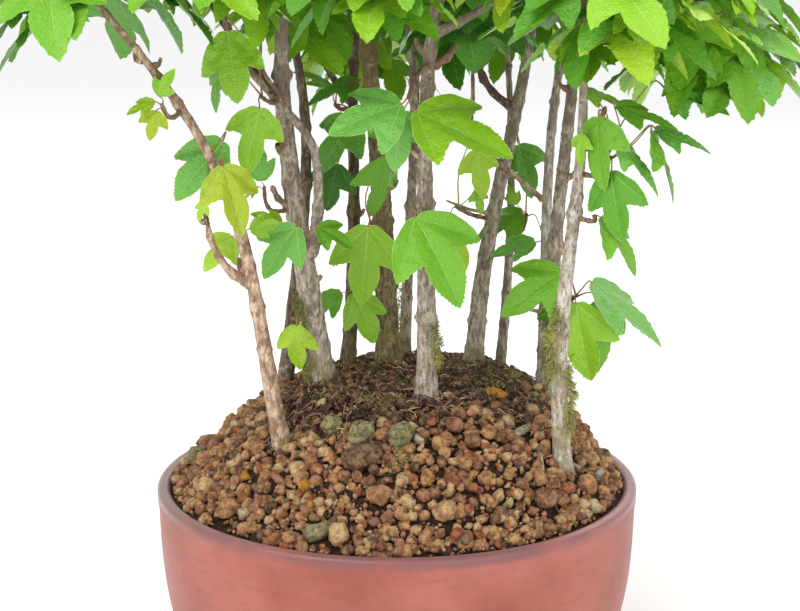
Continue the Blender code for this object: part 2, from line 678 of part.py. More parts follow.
class Mass:
    """A foliage mass in the making: its stem, twigs and leaves, and what they keep clear of."""

    def __init__(self, draw, heart=None, size=None):
        self.draw = draw
        self.heart = heart
        self.size = size
        self.blocked = None
        self.stem = []
        self.twigs = []
        self.leaves = []

    def holds(self, point):
        """True if a point lies in the mass's space, or the mass has no bound."""
        if self.size is None:
            return True
        return sum(((point[i] - self.heart[i]) / self.size[i]) ** 2 for i in range(3)) < 1.0

    def add_stem(self, start, way, end, blocked):
        """The stem, from its seat along way and round to end, by the first clear path."""
        for attempt in range(STEM_TRIES):
            aside = Vector(self.draw.uniform(-1, 1) for k in range(3)) * (STEM_SHIFT * attempt)
            self.stem = [start] + bend(start + way * STEM_STUB, way * STEM_LEAD + aside, end, STEM_STEPS)
            probe = twig_shape(self.stem, STEM_DIAMETER, TWIG_DIAMETER, SKIN / 2)
            if not tree_of(*probe).overlap(blocked):
                break
        self.twigs.append(twig_shape(self.stem, STEM_DIAMETER, TWIG_DIAMETER))

    def add_twig(self, path, thick, thin):
        """A twig along a path, if it keeps clear of everything outside the mass."""
        for skin in (0.0, SKIN):
            if tree_of(*twig_shape(path, thick, thin, skin)).overlap(self.blocked):
                return False
        self.twigs.append(twig_shape(path, thick, thin))
        return True

    def add_leaf(self, node, base, direction, normal, length):
        """A leaf with its root sunk in a twig at node, if it keeps clear and in its space."""
        if not self.holds(base + direction * (length * LEAF_SHOULDER)):
            return False
        away = (base - node).normalized()
        for skin in (0.0, SKIN):
            if tree_of(*leaf_shape(node, base, direction, normal, length, skin)).overlap(self.blocked):
                return False
        probe = tree_of(*leaf_shape(node + away * ROOT_CLEAR, base, direction, normal, length, SKIN))
        if probe.overlap(tree_of(*add_shapes(self.twigs + self.leaves))):
            return False
        self.leaves.append(leaf_shape(node, base, direction, normal, length))
        return True


def bend(start, first, end, steps):
    """A smooth path from start, leaving along the vector first, to end."""
    knee = start + first
    path = []
    for i in range(steps + 1):
        t = i / steps
        path.append(start.lerp(knee, t).lerp(knee.lerp(end, t), t))
    return path


def start_spray(mass, row, limbs, shapes, blocked):
    """The stem of a low spray, from the side or the tip of its limb."""
    carrier, share, reach, leaves = row
    point, direction, radius = limbs[carrier].at(share)
    end = point + Vector(reach)
    if share == 1.0:
        mass.add_stem(point + direction * TOUCH_GAP, direction, end, blocked)
        return
    radial = across(direction, Vector(reach))

    def shape_at(start):
        return twig_shape([start, start + radial], STEM_DIAMETER, STEM_DIAMETER)

    start = seat(point, radial, radius, shape_at, tree_of(*shapes[carrier]))
    mass.add_stem(start, radial, end, blocked)


def grow_spray(mass, row):
    """The leaves of a low spray, each on its own petiole from the end of the stem."""
    end = mass.stem[-1]
    for i, (x, y, z, clock, lean, roll, length) in enumerate(row[3]):
        a = math.radians(clock)
        b = math.radians(lean)
        pointing = Vector((math.cos(a) * math.cos(b), -math.sin(b), math.sin(a) * math.cos(b)))
        face = Matrix.Rotation(math.radians(roll), 3, pointing) @ across(pointing, LEAF_FACE)
        node = end.lerp(mass.stem[-2], 0.15 + 0.18 * (i % 5))
        for attempt in range(SPRAY_TRIES):
            depth = (attempt + 1) // 2 * SPRAY_STEP * (-1) ** attempt
            base = end + Vector((x, y + depth, z))
            if (base - node).length < PETIOLE:
                if mass.add_leaf(node, base, pointing, face, length):
                    break
                continue
            along = (base - node).normalized()
            clear = twig_shape([node + along * ROOT_CLEAR, base], PETIOLE_CLEAR, PETIOLE_CLEAR)
            if tree_of(*clear).overlap(mass.blocked):
                continue
            if mass.add_leaf(base - along * ROOT_SINK, base + pointing, pointing, face, length):
                mass.twigs.append(twig_shape([node, base], PETIOLE_DIAMETER, PETIOLE_DIAMETER))
                break


def leaf_heading(petiole, hang):
    """The direction of a blade: outwards from its petiole, hanging under its own weight."""
    level = Vector((petiole.x, petiole.y, 0.0)).normalized()
    return (level - Vector((0, 0, hang))).normalized()


def start_crown(mass, row, limbs, blocked):
    """The stem of a crown mass, from the tip of its limb to the middle of its space."""
    point, direction, radius = limbs[row[0]].at(1.0)
    mass.add_stem(point + direction * TOUCH_GAP, direction, Vector(row[1]), blocked)


def crown_twig(mass, row, rise, azimuth):
    """A twig from the stem of a crown mass into its space, or None where nothing is clear."""
    draw = mass.draw
    flat = math.sqrt(max(0.0, 1.0 - rise * rise))
    outward = Vector((math.cos(azimuth) * flat, math.sin(azimuth) * flat, rise))
    node = mass.stem[-1 - len(mass.twigs) % 3]
    for attempt in range(TWIG_TRIES):
        reach = draw.uniform(*TWIG_REACH)
        end = Vector(row[1]) + Vector(outward[k] * row[2][k] * reach for k in range(3))
        twig = bend(node, Vector((0, 0, draw.uniform(*TWIG_ARCH))), end, 2)
        if mass.add_twig(twig, TWIG_DIAMETER, TWIG_DIAMETER * TWIG_TAPER):
            return twig, outward
        outward = (outward + Vector(draw.uniform(-0.4, 0.4) for k in range(3))).normalized()
    return None


def leaf_sites(twig):
    """Where leaves leave a twig, and the ways their petioles point: one at its end, then pairs."""
    along = (twig[-1] - twig[-2]).normalized()
    level = across(along, Vector((0, 0, 1)))
    side = along.cross(level)
    swing = math.radians(PETIOLE_SWING)
    sites = [(twig[-1] - along * (TWIG_DIAMETER / 2), along)]
    for k, (back, hand) in enumerate(LEAF_SITES):
        turn = side if k < 2 else side * 0.6 + level * 0.8
        petiole = along * math.cos(swing) + turn * (math.sin(swing) * hand)
        sites.append((twig[-1].lerp(twig[-2], back), petiole))
    return sites


def grow_crown(mass, row):
    """The twigs of a crown mass, all round its stem, with leaves in pairs on each."""
    draw = mass.draw
    count = row[3]
    spin = draw.uniform(0, 360)
    high, low = TWIG_RISE
    for i in range(count + 1):
        rise = 1.0 if i == count else high + (low - high) * (i + 0.5) / count
        grown = crown_twig(mass, row, rise, math.radians(spin + GOLDEN_ANGLE * i))
        if not grown:
            continue
        twig, outward = grown
        normal = Vector((outward.x * 0.5, outward.y * 0.5, 1.0))
        for place, petiole in leaf_sites(twig):
            for attempt in range(LEAF_TRIES):
                jitter = Vector(draw.uniform(-LEAF_SCATTER, LEAF_SCATTER) for k in range(3))
                away = (petiole + jitter).normalized()
                length = LEAF_LENGTH * draw.uniform(*LEAF_SIZES) * (1.0 - LEAF_SHRINK * attempt)
                base = place + away * (PETIOLE * draw.uniform(*PETIOLE_SIZES))
                blade = leaf_heading(away, draw.uniform(*LEAF_HANG))
                if mass.add_leaf(place, base, blade, normal, length):
                    break


def loose_parts(mesh):
    """Groups of connected vertices of a bmesh, each as a list of faces."""
    seen = set()
    groups = []
    for face in mesh.faces:
        if face in seen:
            continue
        seen.add(face)
        group = [face]
        for some in group:
            for edge in some.edges:
                for near in edge.link_faces:
                    if near not in seen:
                        seen.add(near)
                        group.append(near)
        groups.append(group)
    return groups


def join_mass(name, mass, finish):
    """One closed solid of a mass: every twig and leaf joined, sealed hollows and scraps dropped."""
    pieces = []
    for i, shape in enumerate(mass.twigs + mass.leaves):
        pieces.append(add_object(f"{name}_{i}", *shape))
    stem = pieces.pop(0)
    stem.name = name
    stem.data.name = name
    apply_boolean(stem, "UNION", pieces)
    shell = bmesh.new()
    shell.from_mesh(stem.data)
    bmesh.ops.dissolve_limit(shell, angle_limit=math.radians(3.0), verts=shell.verts, edges=shell.edges)
    bmesh.ops.triangulate(shell, faces=shell.faces)
    groups = sorted(loose_parts(shell), key=len)
    for scrap in groups[:-1]:
        bmesh.ops.delete(shell, geom=scrap, context="FACES")
    loose = [v for v in shell.verts if not v.link_faces]
    bmesh.ops.delete(shell, geom=loose, context="VERTS")
    shell.to_mesh(stem.data)
    shell.free()
    stem.data.materials.clear()
    stem.data.materials.append(finish)
    points = [v.co / MM for v in stem.data.vertices]
    faces = [tuple(p.vertices) for p in stem.data.polygons]
    return points, faces


def make_foliage(finish, limbs, shapes):
    """Every spray and crown mass: first all the stems, then twigs and leaves, one by one."""
    masses = {}
    for number, name in enumerate(list(SPRAYS) + list(CROWN)):
        blocked = tree_of(*add_shapes(list(shapes.values())))
        draw = random.Random(SEED + number)
        if name in SPRAYS:
            mass = Mass(draw)
            start_spray(mass, SPRAYS[name], limbs, shapes, blocked)
        else:
            mass = Mass(draw, Vector(CROWN[name][1]), Vector(CROWN[name][2]))
            start_crown(mass, CROWN[name], limbs, blocked)
        masses[name] = mass
        shapes[name] = mass.twigs[0]
    for name, mass in masses.items():
        mass.blocked = tree_of(*add_shapes([shapes[other] for other in shapes if other != name]))
        if name in SPRAYS:
            grow_spray(mass, SPRAYS[name])
        else:
            grow_crown(mass, CROWN[name])
        shapes[name] = join_mass(name, mass, finish)
    return masses


def main():
    """Build the whole plant in its pot."""
    for thing in list(bpy.data.objects):
        bpy.data.objects.remove(thing)
    clay = material("red_clay", (0.46, 0.15, 0.10), 0.8)
    earth = material("akadama_soil", (0.13, 0.07, 0.04), 0.95)
    bark = material("grey_bark", (0.22, 0.17, 0.13), 0.85)
    green = material("maple_leaf", (0.13, 0.36, 0.05), 0.5)
    make_pot(clay)
    limbs = {}
    shapes = {}
    make_trunks(bark, limbs, shapes)
    feet = [(*limbs[name].axis[0], limbs[name].radii[0]) for name in TRUNKS]
    make_soil(earth, feet)
    make_boughs(bark, limbs, shapes)
    masses = make_foliage(green, limbs, shapes)
    return limbs, shapes, masses


main()
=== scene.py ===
"""Looks of a trident maple grove: twelve slender trunks on a root mound in a red clay pot.

The stems, sprays and crown masses grow by the same seeded rule as the solids, from the same
sizes, and are then carried on to finer shoots, lobed leaves, bark relief, soil grains and moss.
Sizes are in millimetres and become metres where a mesh or a material is made.
"""
import json
import math
import random

import bmesh
import bpy
import numpy as np
from mathutils import Matrix, Vector, geometry, noise
from mathutils.bvhtree import BVHTree

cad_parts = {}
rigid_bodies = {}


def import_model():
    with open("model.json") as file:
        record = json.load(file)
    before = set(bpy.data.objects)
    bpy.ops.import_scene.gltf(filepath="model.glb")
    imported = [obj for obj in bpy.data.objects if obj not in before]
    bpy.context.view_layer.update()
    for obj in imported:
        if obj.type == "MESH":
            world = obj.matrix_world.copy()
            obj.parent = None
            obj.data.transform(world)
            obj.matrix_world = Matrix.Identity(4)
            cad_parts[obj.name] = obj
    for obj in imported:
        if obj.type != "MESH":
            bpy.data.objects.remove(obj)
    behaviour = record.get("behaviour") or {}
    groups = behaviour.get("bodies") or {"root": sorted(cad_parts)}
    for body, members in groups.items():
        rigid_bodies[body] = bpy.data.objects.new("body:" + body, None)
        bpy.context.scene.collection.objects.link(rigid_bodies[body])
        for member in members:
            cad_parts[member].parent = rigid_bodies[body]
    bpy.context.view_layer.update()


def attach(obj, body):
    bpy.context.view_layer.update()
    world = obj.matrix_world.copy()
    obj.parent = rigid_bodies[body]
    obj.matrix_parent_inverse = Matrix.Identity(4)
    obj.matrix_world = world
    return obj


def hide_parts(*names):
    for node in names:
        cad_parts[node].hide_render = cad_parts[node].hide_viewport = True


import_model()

MM = 0.001
TOUCH_GAP = 0.3  # between two pieces that touch

# Pot: a round unglazed bowl, turned, with a rolled lip and a flat foot.
POT_RADIUS = 120.0
POT_HEIGHT = 95.0
POT_WALL = 5.5
POT_FLOOR = 7.0
POT_LIP_PROUD = 0.8
POT_TAPER = 0.096  # share of the radius lost at POT_TAPER_DEPTH below the rim
POT_TAPER_DEPTH = 85.0
POT_SHOULDER = 9.0  # height of the rounded corner above the foot
POT_CORNER = 14.0  # how far the rounded corner runs in under the wall
FOOT_HEIGHT = 8.0
FOOT_RADIUS = 84.0
DRAIN_RADIUS = 7.0
DRAIN_OFFSET = 38.0
FLOOR_RING = 60.0  # the floor is flat inside this radius
LIP_ROLL = 2.4  # height of the lip's rounded edge
LIP_BLEND = (4.0, 9.0)  # the lip rolls into the wall from this depth, over this height
POT_TURN = 180  # points round the pot
SOIL_RADIUS = POT_RADIUS - POT_WALL

# Root mound: the soil swells from the rim to a broad crest behind the middle of the pot.
MOUND_HEIGHT = 48.0
MOUND_EDGE = -1.5  # height of the soil at the rim, from the rim's top
MOUND_CREST = (20.0, 40.0)
MOUND_FLATNESS = 4.0
MOUND_STEEPNESS = 1.7
MOUND_TURN = 144  # points round the mound
MOUND_RINGS = 46
MOUND_LOW = 1.6  # the compost lies this far under the grains' level

# Trunks: foot x, foot y, rise, lean x, lean y, bow x, bow y, sway x, foot and tip diameter.
# The axis runs from the foot to foot + lean at the top. The bow swings it aside halfway up,
# and the sway swings it one way in the lower half and the other way in the upper half.
TRUNKS = {
    "trunk_left_front": (-55.5, -36.0, 215.0, -80.0, -18.0, 22.5, 0.0, -4.0, 9.0, 2.6),
    "trunk_left_back": (-59.5, 38.0, 222.0, -3.0, 14.0, 13.5, 4.0, -2.5, 8.8, 3.0),
    "trunk_left_main": (-38.0, 20.0, 255.0, -8.0, -14.0, -12.5, -2.0, 2.5, 14.2, 3.4),
    "trunk_middle_slim": (-26.5, 55.0, 240.0, 11.0, 10.0, -2.0, 4.0, 2.0, 8.4, 3.0),
    "trunk_middle_thick": (-4.5, 46.0, 278.0, -26.0, -6.0, 5.5, 0.0, 0.0, 13.6, 3.6),
    "trunk_middle_back": (4.0, 74.0, 247.0, -8.0, 16.0, 9.0, 5.0, -2.0, 7.0, 2.8),
    "trunk_middle_front": (14.5, -14.0, 258.0, 16.0, -18.0, -9.0, -3.0, 2.0, 10.8, 3.2),
    "trunk_right_leaning": (40.0, 45.0, 236.0, 33.0, 16.0, 2.0, 4.0, -3.0, 10.4, 3.0),
    "trunk_right_slim": (55.0, 62.0, 195.0, 2.0, 26.0, 5.0, 3.0, 0.0, 6.0, 2.4),
    "trunk_right_back": (76.0, 36.0, 247.0, 25.0, 18.0, -10.0, 4.0, 2.0, 7.4, 2.6),
    "trunk_right_main": (81.0, 14.0, 261.0, 3.0, -8.0, 0.0, 0.0, -3.5, 9.0, 3.4),
    "trunk_right_front": (81.0, -40.0, 223.0, 2.0, -22.0, -2.0, -2.0, -3.0, 9.8, 2.6),
}
TRUNK_SIDES = 6
TRUNK_RINGS = 11
ROOT_FLARE = 0.28  # how much wider the foot is than the stem above it
ROOT_FLARE_HEIGHT = 7.0
ROOT_LOBES = 3
ROOT_LOBE_DEPTH = 0.10
FOOT_SINK = 1.5  # the flat cut lies this far under the lowest soil around it

# Boughs: the limb it leaves and how far up it, the headings (azimuth and elevation) that its
# axis turns through, length, diameter at each end. Azimuth 0 is +X (right), 90 is +Y (back).
BOUGHS = {
    "bough_left_front_low": ("trunk_left_front", 0.475, ((180, 28), (160, 58), (130, 80)), 34.0, 5.2, 2.4),
    "bough_left_main_second": (
        "trunk_left_main", 0.365, ((-42, 76), (-80, 80), (186, 52), (184, 50), (178, 84)), 138.0, 6.4, 2.6),
    "bough_left_main_side": ("trunk_left_main", 0.66, ((190, 52), (180, 60)), 64.0, 4.6, 2.2),
    "bough_middle_slim_left": ("trunk_middle_slim", 0.66, ((196, 52), (186, 72)), 46.0, 4.8, 2.2),
    "bough_middle_thick_front": ("trunk_middle_thick", 0.715, ((-76, 14), (-88, 34)), 86.0, 5.2, 2.2),
    "bough_middle_back_rear": ("trunk_middle_back", 0.60, ((84, 36), (96, 46)), 54.0, 4.4, 2.2),
    "bough_middle_front_right": ("trunk_middle_front", 0.755, ((-6, 22), (-20, 42)), 44.0, 5.6, 2.4),
    "bough_right_leaning_left": (
        "trunk_right_leaning", 0.64, ((178, 30), (170, 66), (160, 78)), 46.0, 4.8, 2.2),
    "bough_right_main_side": ("trunk_right_main", 0.75, ((-4, 54), (-10, 34)), 62.0, 4.0, 2.0),
}
BOUGH_SIDES = 6
BOUGH_RINGS = 6
SEAT_START = 0.8  # a side limb is tried from this share of its carrier's radius outwards
SEAT_STEP = 0.1
SEAT_TRIES = 40

# Low sprays: the limb and how far up it, the end of the stem from there, and the leaves. A
# leaf has its base from the stem's end, the way its tip points on a clock face seen from the
# front (0 right, 90 up), how far it leans forward and how far its blade is rolled about the
# midrib in degrees, and its length.
SPRAYS = {
    "spray_left_front_low": ("bough_left_front_low", 1.0, (5, -7, 12), (
        (3, 4, 25, -132, 12, 0, 36),
        (5, -9, 17, -70, 14, -15, 33),
        (-5, 3, -2, -114, 0, 20, 10),
    )),
    "spray_left_front_fork": ("trunk_left_front", 0.52, (-4, 14, 6), (
        (-4, 4, 1, -132, 10, 0, 22),
        (4, 8, 4, 15, 5, 30, 14),
    )),
    "spray_left_front_small": ("trunk_left_front", 0.81, (-8, -9, 4), (
        (-3, -1, 1, -160, 10, 15, 14),
        (-2, 2, 4, 55, 5, 20, 14),
        (-2, -2, -3, -105, 10, 0, 14),
    )),
    "spray_left_main_stub": ("trunk_left_main", 0.45, (-15, -7, 12), (
        (-1, -2, 3, 94, 6, 0, 18),
        (-3, 2, -1, -149, 0, 30, 10),
    )),
    "spray_left_main_knot": ("bough_left_main_second", 0.60, (-6, -22, 4), (
        (0, -5, -5, -103, 14, 0, 33),
        (-15, 2, 30, -81, 16, 0, 34),
        (-18, 12, 16, -105, 0, 45, 26),
    )),
    "spray_left_main_low": ("trunk_left_main", 0.40, (-2, -22, 6), (
        (2, -4, 2, -127, 14, 0, 30),
        (-6, 6, 2, 162, 0, 20, 16),
        (12, 4, 0, -23, 8, -10, 20),
    )),
    "spray_left_back_low": ("trunk_left_back", 0.26, (4, -14, 6), (
        (0, -2, -3, -90, 4, 20, 24),
    )),
    "spray_middle_slim_low": ("trunk_middle_slim", 0.23, (-1, -17, 6), (
        (3, -2, 1, -66, 12, 0, 28),
        (-4, 2, -1, -146, 6, 10, 20),
    )),
    "spray_middle_slim_mid": ("trunk_middle_slim", 0.64, (-9, -15, 4), (
        (11, -6, -7, -130, 8, 0, 36),
        (12, -2, 11, -166, 10, 25, 30),
        (1, 0, -31, -104, 0, 10, 26),
        (-2, 6, 6, 144, 0, 40, 22),
    )),
    "spray_middle_thick_low": ("trunk_middle_thick", 0.36, (-6, -17, 3), (
        (-1, -4, -2, -95, 14, 0, 40),
        (8, 2, 32, -99, 4, -50, 32),
    )),
    "spray_middle_front_low": ("trunk_middle_front", 0.45, (-5, -14, 3), (
        (0, -3, -3, -58, 16, 0, 47),
    )),
    "spray_middle_front_high": ("trunk_middle_front", 0.70, (-10, -24, -13), (
        (-3, -4, -2, -164, 20, 0, 36),
        (4, -8, -5, -23, 16, -10, 49),
        (-2, 3, -6, -99, 10, 0, 28),
    )),
    "spray_right_leaning_low": ("trunk_right_leaning", 0.41, (-20, -14, 9), (
        (-3, -2, -8, -76, 6, 0, 30),
        (11, -5, 9, -79, 4, 0, 13),
        (10, -8, 30, -79, 4, 0, 26),
    )),
    "spray_right_slim_low": ("trunk_right_slim", 0.47, (8, -12, 13), (
        (-2, -4, 0, -157, 8, 20, 28),
        (3, -8, -12, -167, 6, 20, 24),
        (-5, 5, 4, 112, 0, 0, 11),
        (-5, -1, 36, -74, 0, 0, 30),
    )),
    "spray_right_main_low": ("trunk_right_main", 0.32, (10, -20, 5), (
        (-8, -5, 13, -150, 16, 0, 36),
        (-5, 3, -3, -97, 6, 0, 27),
        (-1, -8, -2, -82, 10, 30, 40),
        (13, 3, -3, -94, 4, -30, 39),
        (7, -1, 6, -37, 8, -30, 47),
    )),
    "spray_right_front_low": ("trunk_right_front", 0.65, (8, -8, 2), (
        (3, -2, -1, -48, 10, -30, 31),
    )),
    "spray_right_front_mid": ("trunk_right_front", 0.73, (12, -10, 11), (
        (-5, 4, 16, -92, 12, 50, 33),
        (1, -5, -8, -83, 8, 45, 32),
        (4, 0, 6, -47, 10, -35, 32),
        (20, 8, 8, -62, 8, -50, 34),
        (23, 15, 8, -16, 6, -30, 28),
        (-12, 8, 8, -97, 4, 40, 15),
        (4, 8, 20, -20, 10, -30, 31),
        (28, 22, 26, -18, 10, -20, 32),
        (-11, 14, 27, -17, 5, -30, 24),
    )),
}

# Crown masses: the limb whose tip its stem meets, the middle of its space, the half sizes of
# that space, and how many twigs leave the stem.
CROWN = {
    "crown_left_front": ("trunk_left_front", (-142, -52, 344), (54, 46, 38), 4),
    "crown_left_back": ("trunk_left_back", (-92, 84, 362), (52, 48, 46), 5),
    "crown_left_main": ("trunk_left_main", (-66, -4, 410), (48, 46, 34), 4),
    "crown_middle_slim": ("trunk_middle_slim", (-34, 112, 376), (46, 42, 38), 5),
    "crown_top": ("trunk_middle_thick", (-22, 42, 434), (46, 44, 28), 5),
    "crown_middle_back": ("trunk_middle_back", (24, 104, 402), (46, 42, 34), 5),
    "crown_middle_front": ("trunk_middle_front", (20, -38, 414), (48, 44, 34), 4),
    "crown_right_leaning": ("trunk_right_leaning", (78, 84, 392), (46, 44, 36), 5),
    "crown_right_slim": ("trunk_right_slim", (80, 122, 326), (48, 42, 42), 4),
    "crown_right_back": ("trunk_right_back", (134, 56, 370), (46, 48, 40), 5),
    "crown_right_main": ("trunk_right_main", (72, 16, 424), (46, 44, 30), 5),
    "crown_right_front": ("trunk_right_front", (98, -78, 340), (48, 44, 38), 5),
    "crown_left_second": ("bough_left_main_second", (-88, -58, 352), (46, 44, 38), 5),
    "crown_left_side": ("bough_left_main_side", (-124, 22, 368), (48, 44, 38), 5),
    "crown_inner_left": ("bough_middle_slim_left", (-50, 50, 332), (36, 32, 30), 4),
    "crown_front": ("bough_middle_thick_front", (-16, -88, 356), (50, 42, 40), 5),
    "crown_rear": ("bough_middle_back_rear", (-16, 140, 314), (52, 38, 42), 4),
    "crown_front_right": ("bough_middle_front_right", (62, -66, 356), (40, 40, 34), 5),
    "crown_inner_right": ("bough_right_leaning_left", (34, 46, 328), (36, 34, 34), 4),
    "crown_right_side": ("bough_right_main_side", (150, -6, 312), (44, 48, 52), 5),
}
LEAF_LENGTH = 42.0
LEAF_SPREAD = 0.92  # width over length
LEAF_THICK = 1.4
LEAF_SHOULDER = 0.42  # where along the blade it is widest
LEAF_FACE = Vector((0.1, -1.0, 0.9))  # the way the upper side of a low leaf is turned
LEAF_HANG = (0.25, 0.95)  # how far a crown leaf hangs for each unit that it points outwards
LEAF_SITES = ((0.25, 1), (0.43, -1), (0.61, 1), (0.79, -1))  # back along the twig, and the hand
STEM_DIAMETER = 3.4
STEM_STUB = 3.0  # a stem leaves its limb straight for this far
STEM_LEAD = 9.0
STEM_STEPS = 4
STEM_TRIES = 40
STEM_SHIFT = 1.2
GOLDEN_ANGLE = 137.5  # degrees round the stem from one twig to the next
TWIG_DIAMETER = 2.4
TWIG_TAPER = 0.6
TWIG_RISE = (0.75, -0.6)  # from the highest of a mass's side twigs to the lowest
TWIG_REACH = (0.42, 0.66)  # share of the way to the edge of the mass's space
TWIG_ARCH = (-2.0, 6.0)
TWIG_TRIES = 4
PETIOLE = 13.0
PETIOLE_DIAMETER = 1.1
PETIOLE_SWING = 52.0  # degrees between a twig and the petioles that leave its side
PETIOLE_CLEAR = 1.5  # clear width kept for a long petiole
ROOT_SINK = 2.5  # a blade's root lies this far back inside a long petiole
ROOT_CLEAR = 3.5  # a petiole is free of its twig this far from its node
SPRAY_TRIES = 13
SPRAY_STEP = 3.0
SKIN = 0.5  # clear space kept round every twig and leaf
SEED = 12

# Finer growth, past what the solids hold.
FINE_SHOOTS = 3  # short shoots from each twig
FINE_SHOOT_LENGTH = (9.0, 24.0)
# Crown leaves, and the finer ones between them, which may brush past each other: tries, scatter
# of the petiole, length over the full one, how much shorter it is at each new try, petiole over
# the full one, and the clear space kept.
CROWN_LEAF = (8, 0.4, (0.8, 1.12), 0.04, (0.8, 1.3), SKIN)
FINE_LEAF = (5, 0.45, (0.42, 0.82), 0.06, (0.6, 1.1), -1.2)

# Leaf blade, in shares of its length: six forms of the three-lobed outline, each with the reach
# and the spread of the side lobe's tip, the half width at the notch and the length of a tooth.
BLADE_FORMS = (
    (0.52, 0.46, 0.170, 0.014),
    (0.46, 0.49, 0.175, 0.012),
    (0.42, 0.47, 0.165, 0.013),
    (0.56, 0.44, 0.180, 0.015),
    (0.40, 0.43, 0.160, 0.011),
    (0.49, 0.52, 0.180, 0.012),
)
# The pale rim along a low leaf's margin is a painted highlight.
RIM_HIGHLIGHT_WIDTH = 0.007  # of the pale rim
PLEAT = 0.13  # side veins leave the midrib this far apart
PLEAT_LEAN = 1.1  # and run this far forwards for each unit outwards
BLADE_FOLDS = 5  # ways of folding and drooping for each form
# How finely a blade is drawn: points to a span on each stretch of its edge, how far apart the
# points inside lie, and whether its smallest veins are there.
CROWN_BLADE = ((3, 2, 3), 0.092, False)
LOW_BLADE = ((4, 3, 6), 0.048, True)

# Leaf tints, dealt out a spray at a time: how many in a hundred get each, and how dull its skin
# is. Veins on the dark ones are softer.
# Besides the leaves' own greens, the tints hold painted light: fresh and lime are brightened to stand in
# for light shining through the blade, shade and deep are darkened as painted shade, and the bloom tint is
# bluer as a painted sheen over its real gloss.
LEAF_TINTS = {
    "fresh": ("#88BA24", 27, 0.36),
    "grass": ("#6CA820", 25, 0.40),
    "lime": ("#A2C82A", 14, 0.36),
    "shade": ("#55941E", 16, 0.42),
    "deep": ("#3E7814", 6, 0.44),
    "bloom": ("#70B24A", 9, 0.26),
    "yellow": ("#9CAF1E", 3, 0.36),
}
DARK_TINTS = ("shade", "deep", "grass")
# The low leaves' own tints, in the order that their sprays list them; each is chosen for that leaf's look,
# its painted light and shade included.
SPRAY_TINTS = {
    "spray_left_front_low": ("bloom", "yellow", "lime"),
    "spray_left_front_fork": ("lime", "fresh"),
    "spray_left_front_small": ("lime", "fresh", "yellow"),
    "spray_left_main_stub": ("bloom", "lime"),
    "spray_left_main_knot": ("fresh", "fresh", "grass"),
    "spray_left_main_low": ("bloom", "lime", "grass"),
    "spray_left_back_low": ("lime",),
    "spray_middle_slim_low": ("fresh", "grass"),
    "spray_middle_slim_mid": ("shade", "shade", "deep", "fresh"),
    "spray_middle_thick_low": ("fresh", "grass"),
    "spray_middle_front_low": ("grass",),
    "spray_middle_front_high": ("bloom", "fresh", "bloom"),
    "spray_right_leaning_low": ("lime", "fresh", "lime"),
    "spray_right_slim_low": ("grass", "bloom", "fresh", "shade"),
    "spray_right_main_low": ("grass", "shade", "fresh", "grass", "bloom"),
    "spray_right_front_low": ("grass",),
    "spray_right_front_mid": (
        "grass", "shade", "bloom", "grass", "bloom", "fresh", "grass", "bloom", "fresh"),
}
VEIN_TONES = {
    "pale": ("#A9CE5E", "#B7D672"),
    "soft": ("#80B44A", "#93C05C"),
}
STALK_TONES = {
    "red": ("#8E4F38", "#A9774A"),
    "amber": ("#A98A48", "#9C6440"),
    "green": ("#93A650", "#A88A4A"),
}

# Grains: pale and dark tone, and how many in a hundred.
GRAIN_TINTS = {
    "ochre": ("#DCA977", "#8E613F", 36),
    "tan": ("#E6C291", "#A87C50", 14),
    "brown": ("#C18C68", "#704A36", 30),
    "umber": ("#9C7A5E", "#513B2B", 9),
    "rust": ("#C27E54", "#7E4A33", 6),
    # The dark grit's near-black tone is partly painted shade for the crevices among the grains.
    "dark": ("#5E4438", "#1E1312", 1),
    "loam": ("#8C6A55", "#2A1A18", 0.5),
    "cream": ("#DCC9A2", "#A88F68", 3.0),
    "mossy": ("#B4B07C", "#6E5A48", 0.8),
    "pumice": ("#DDD6C8", "#AAA08E", 0.5),
    "amber": ("#DB9F3F", "#A86D28", 0.25),
    "driftwood": ("#C9BBA4", "#7F6F5B", 0.0),
}
COMPOST_TINTS = {"loam": 36, "dark": 22, "umber": 26, "brown": 13, "cream": 3}
# Layers strewn over the bed of grains: how many, and their radii.
GRAIN_LAYERS = (
    ("proud", 420, (1.8, 3.2)),
    ("nugget", 900, (1.6, 2.3)),
    ("crumb", 6200, (0.7, 1.6)),
    ("clod", 1000, (1.2, 3.8)),
)
# How high each layer's grains lie over the soil's level.
GRAIN_LIFTS = {"bed": -0.4, "proud": -0.4, "nugget": 0.3, "crumb": 0.3, "clod": -0.6}
SKIRT_EDGE = 0.56  # loose grains start this share of the way from the crest to the rim
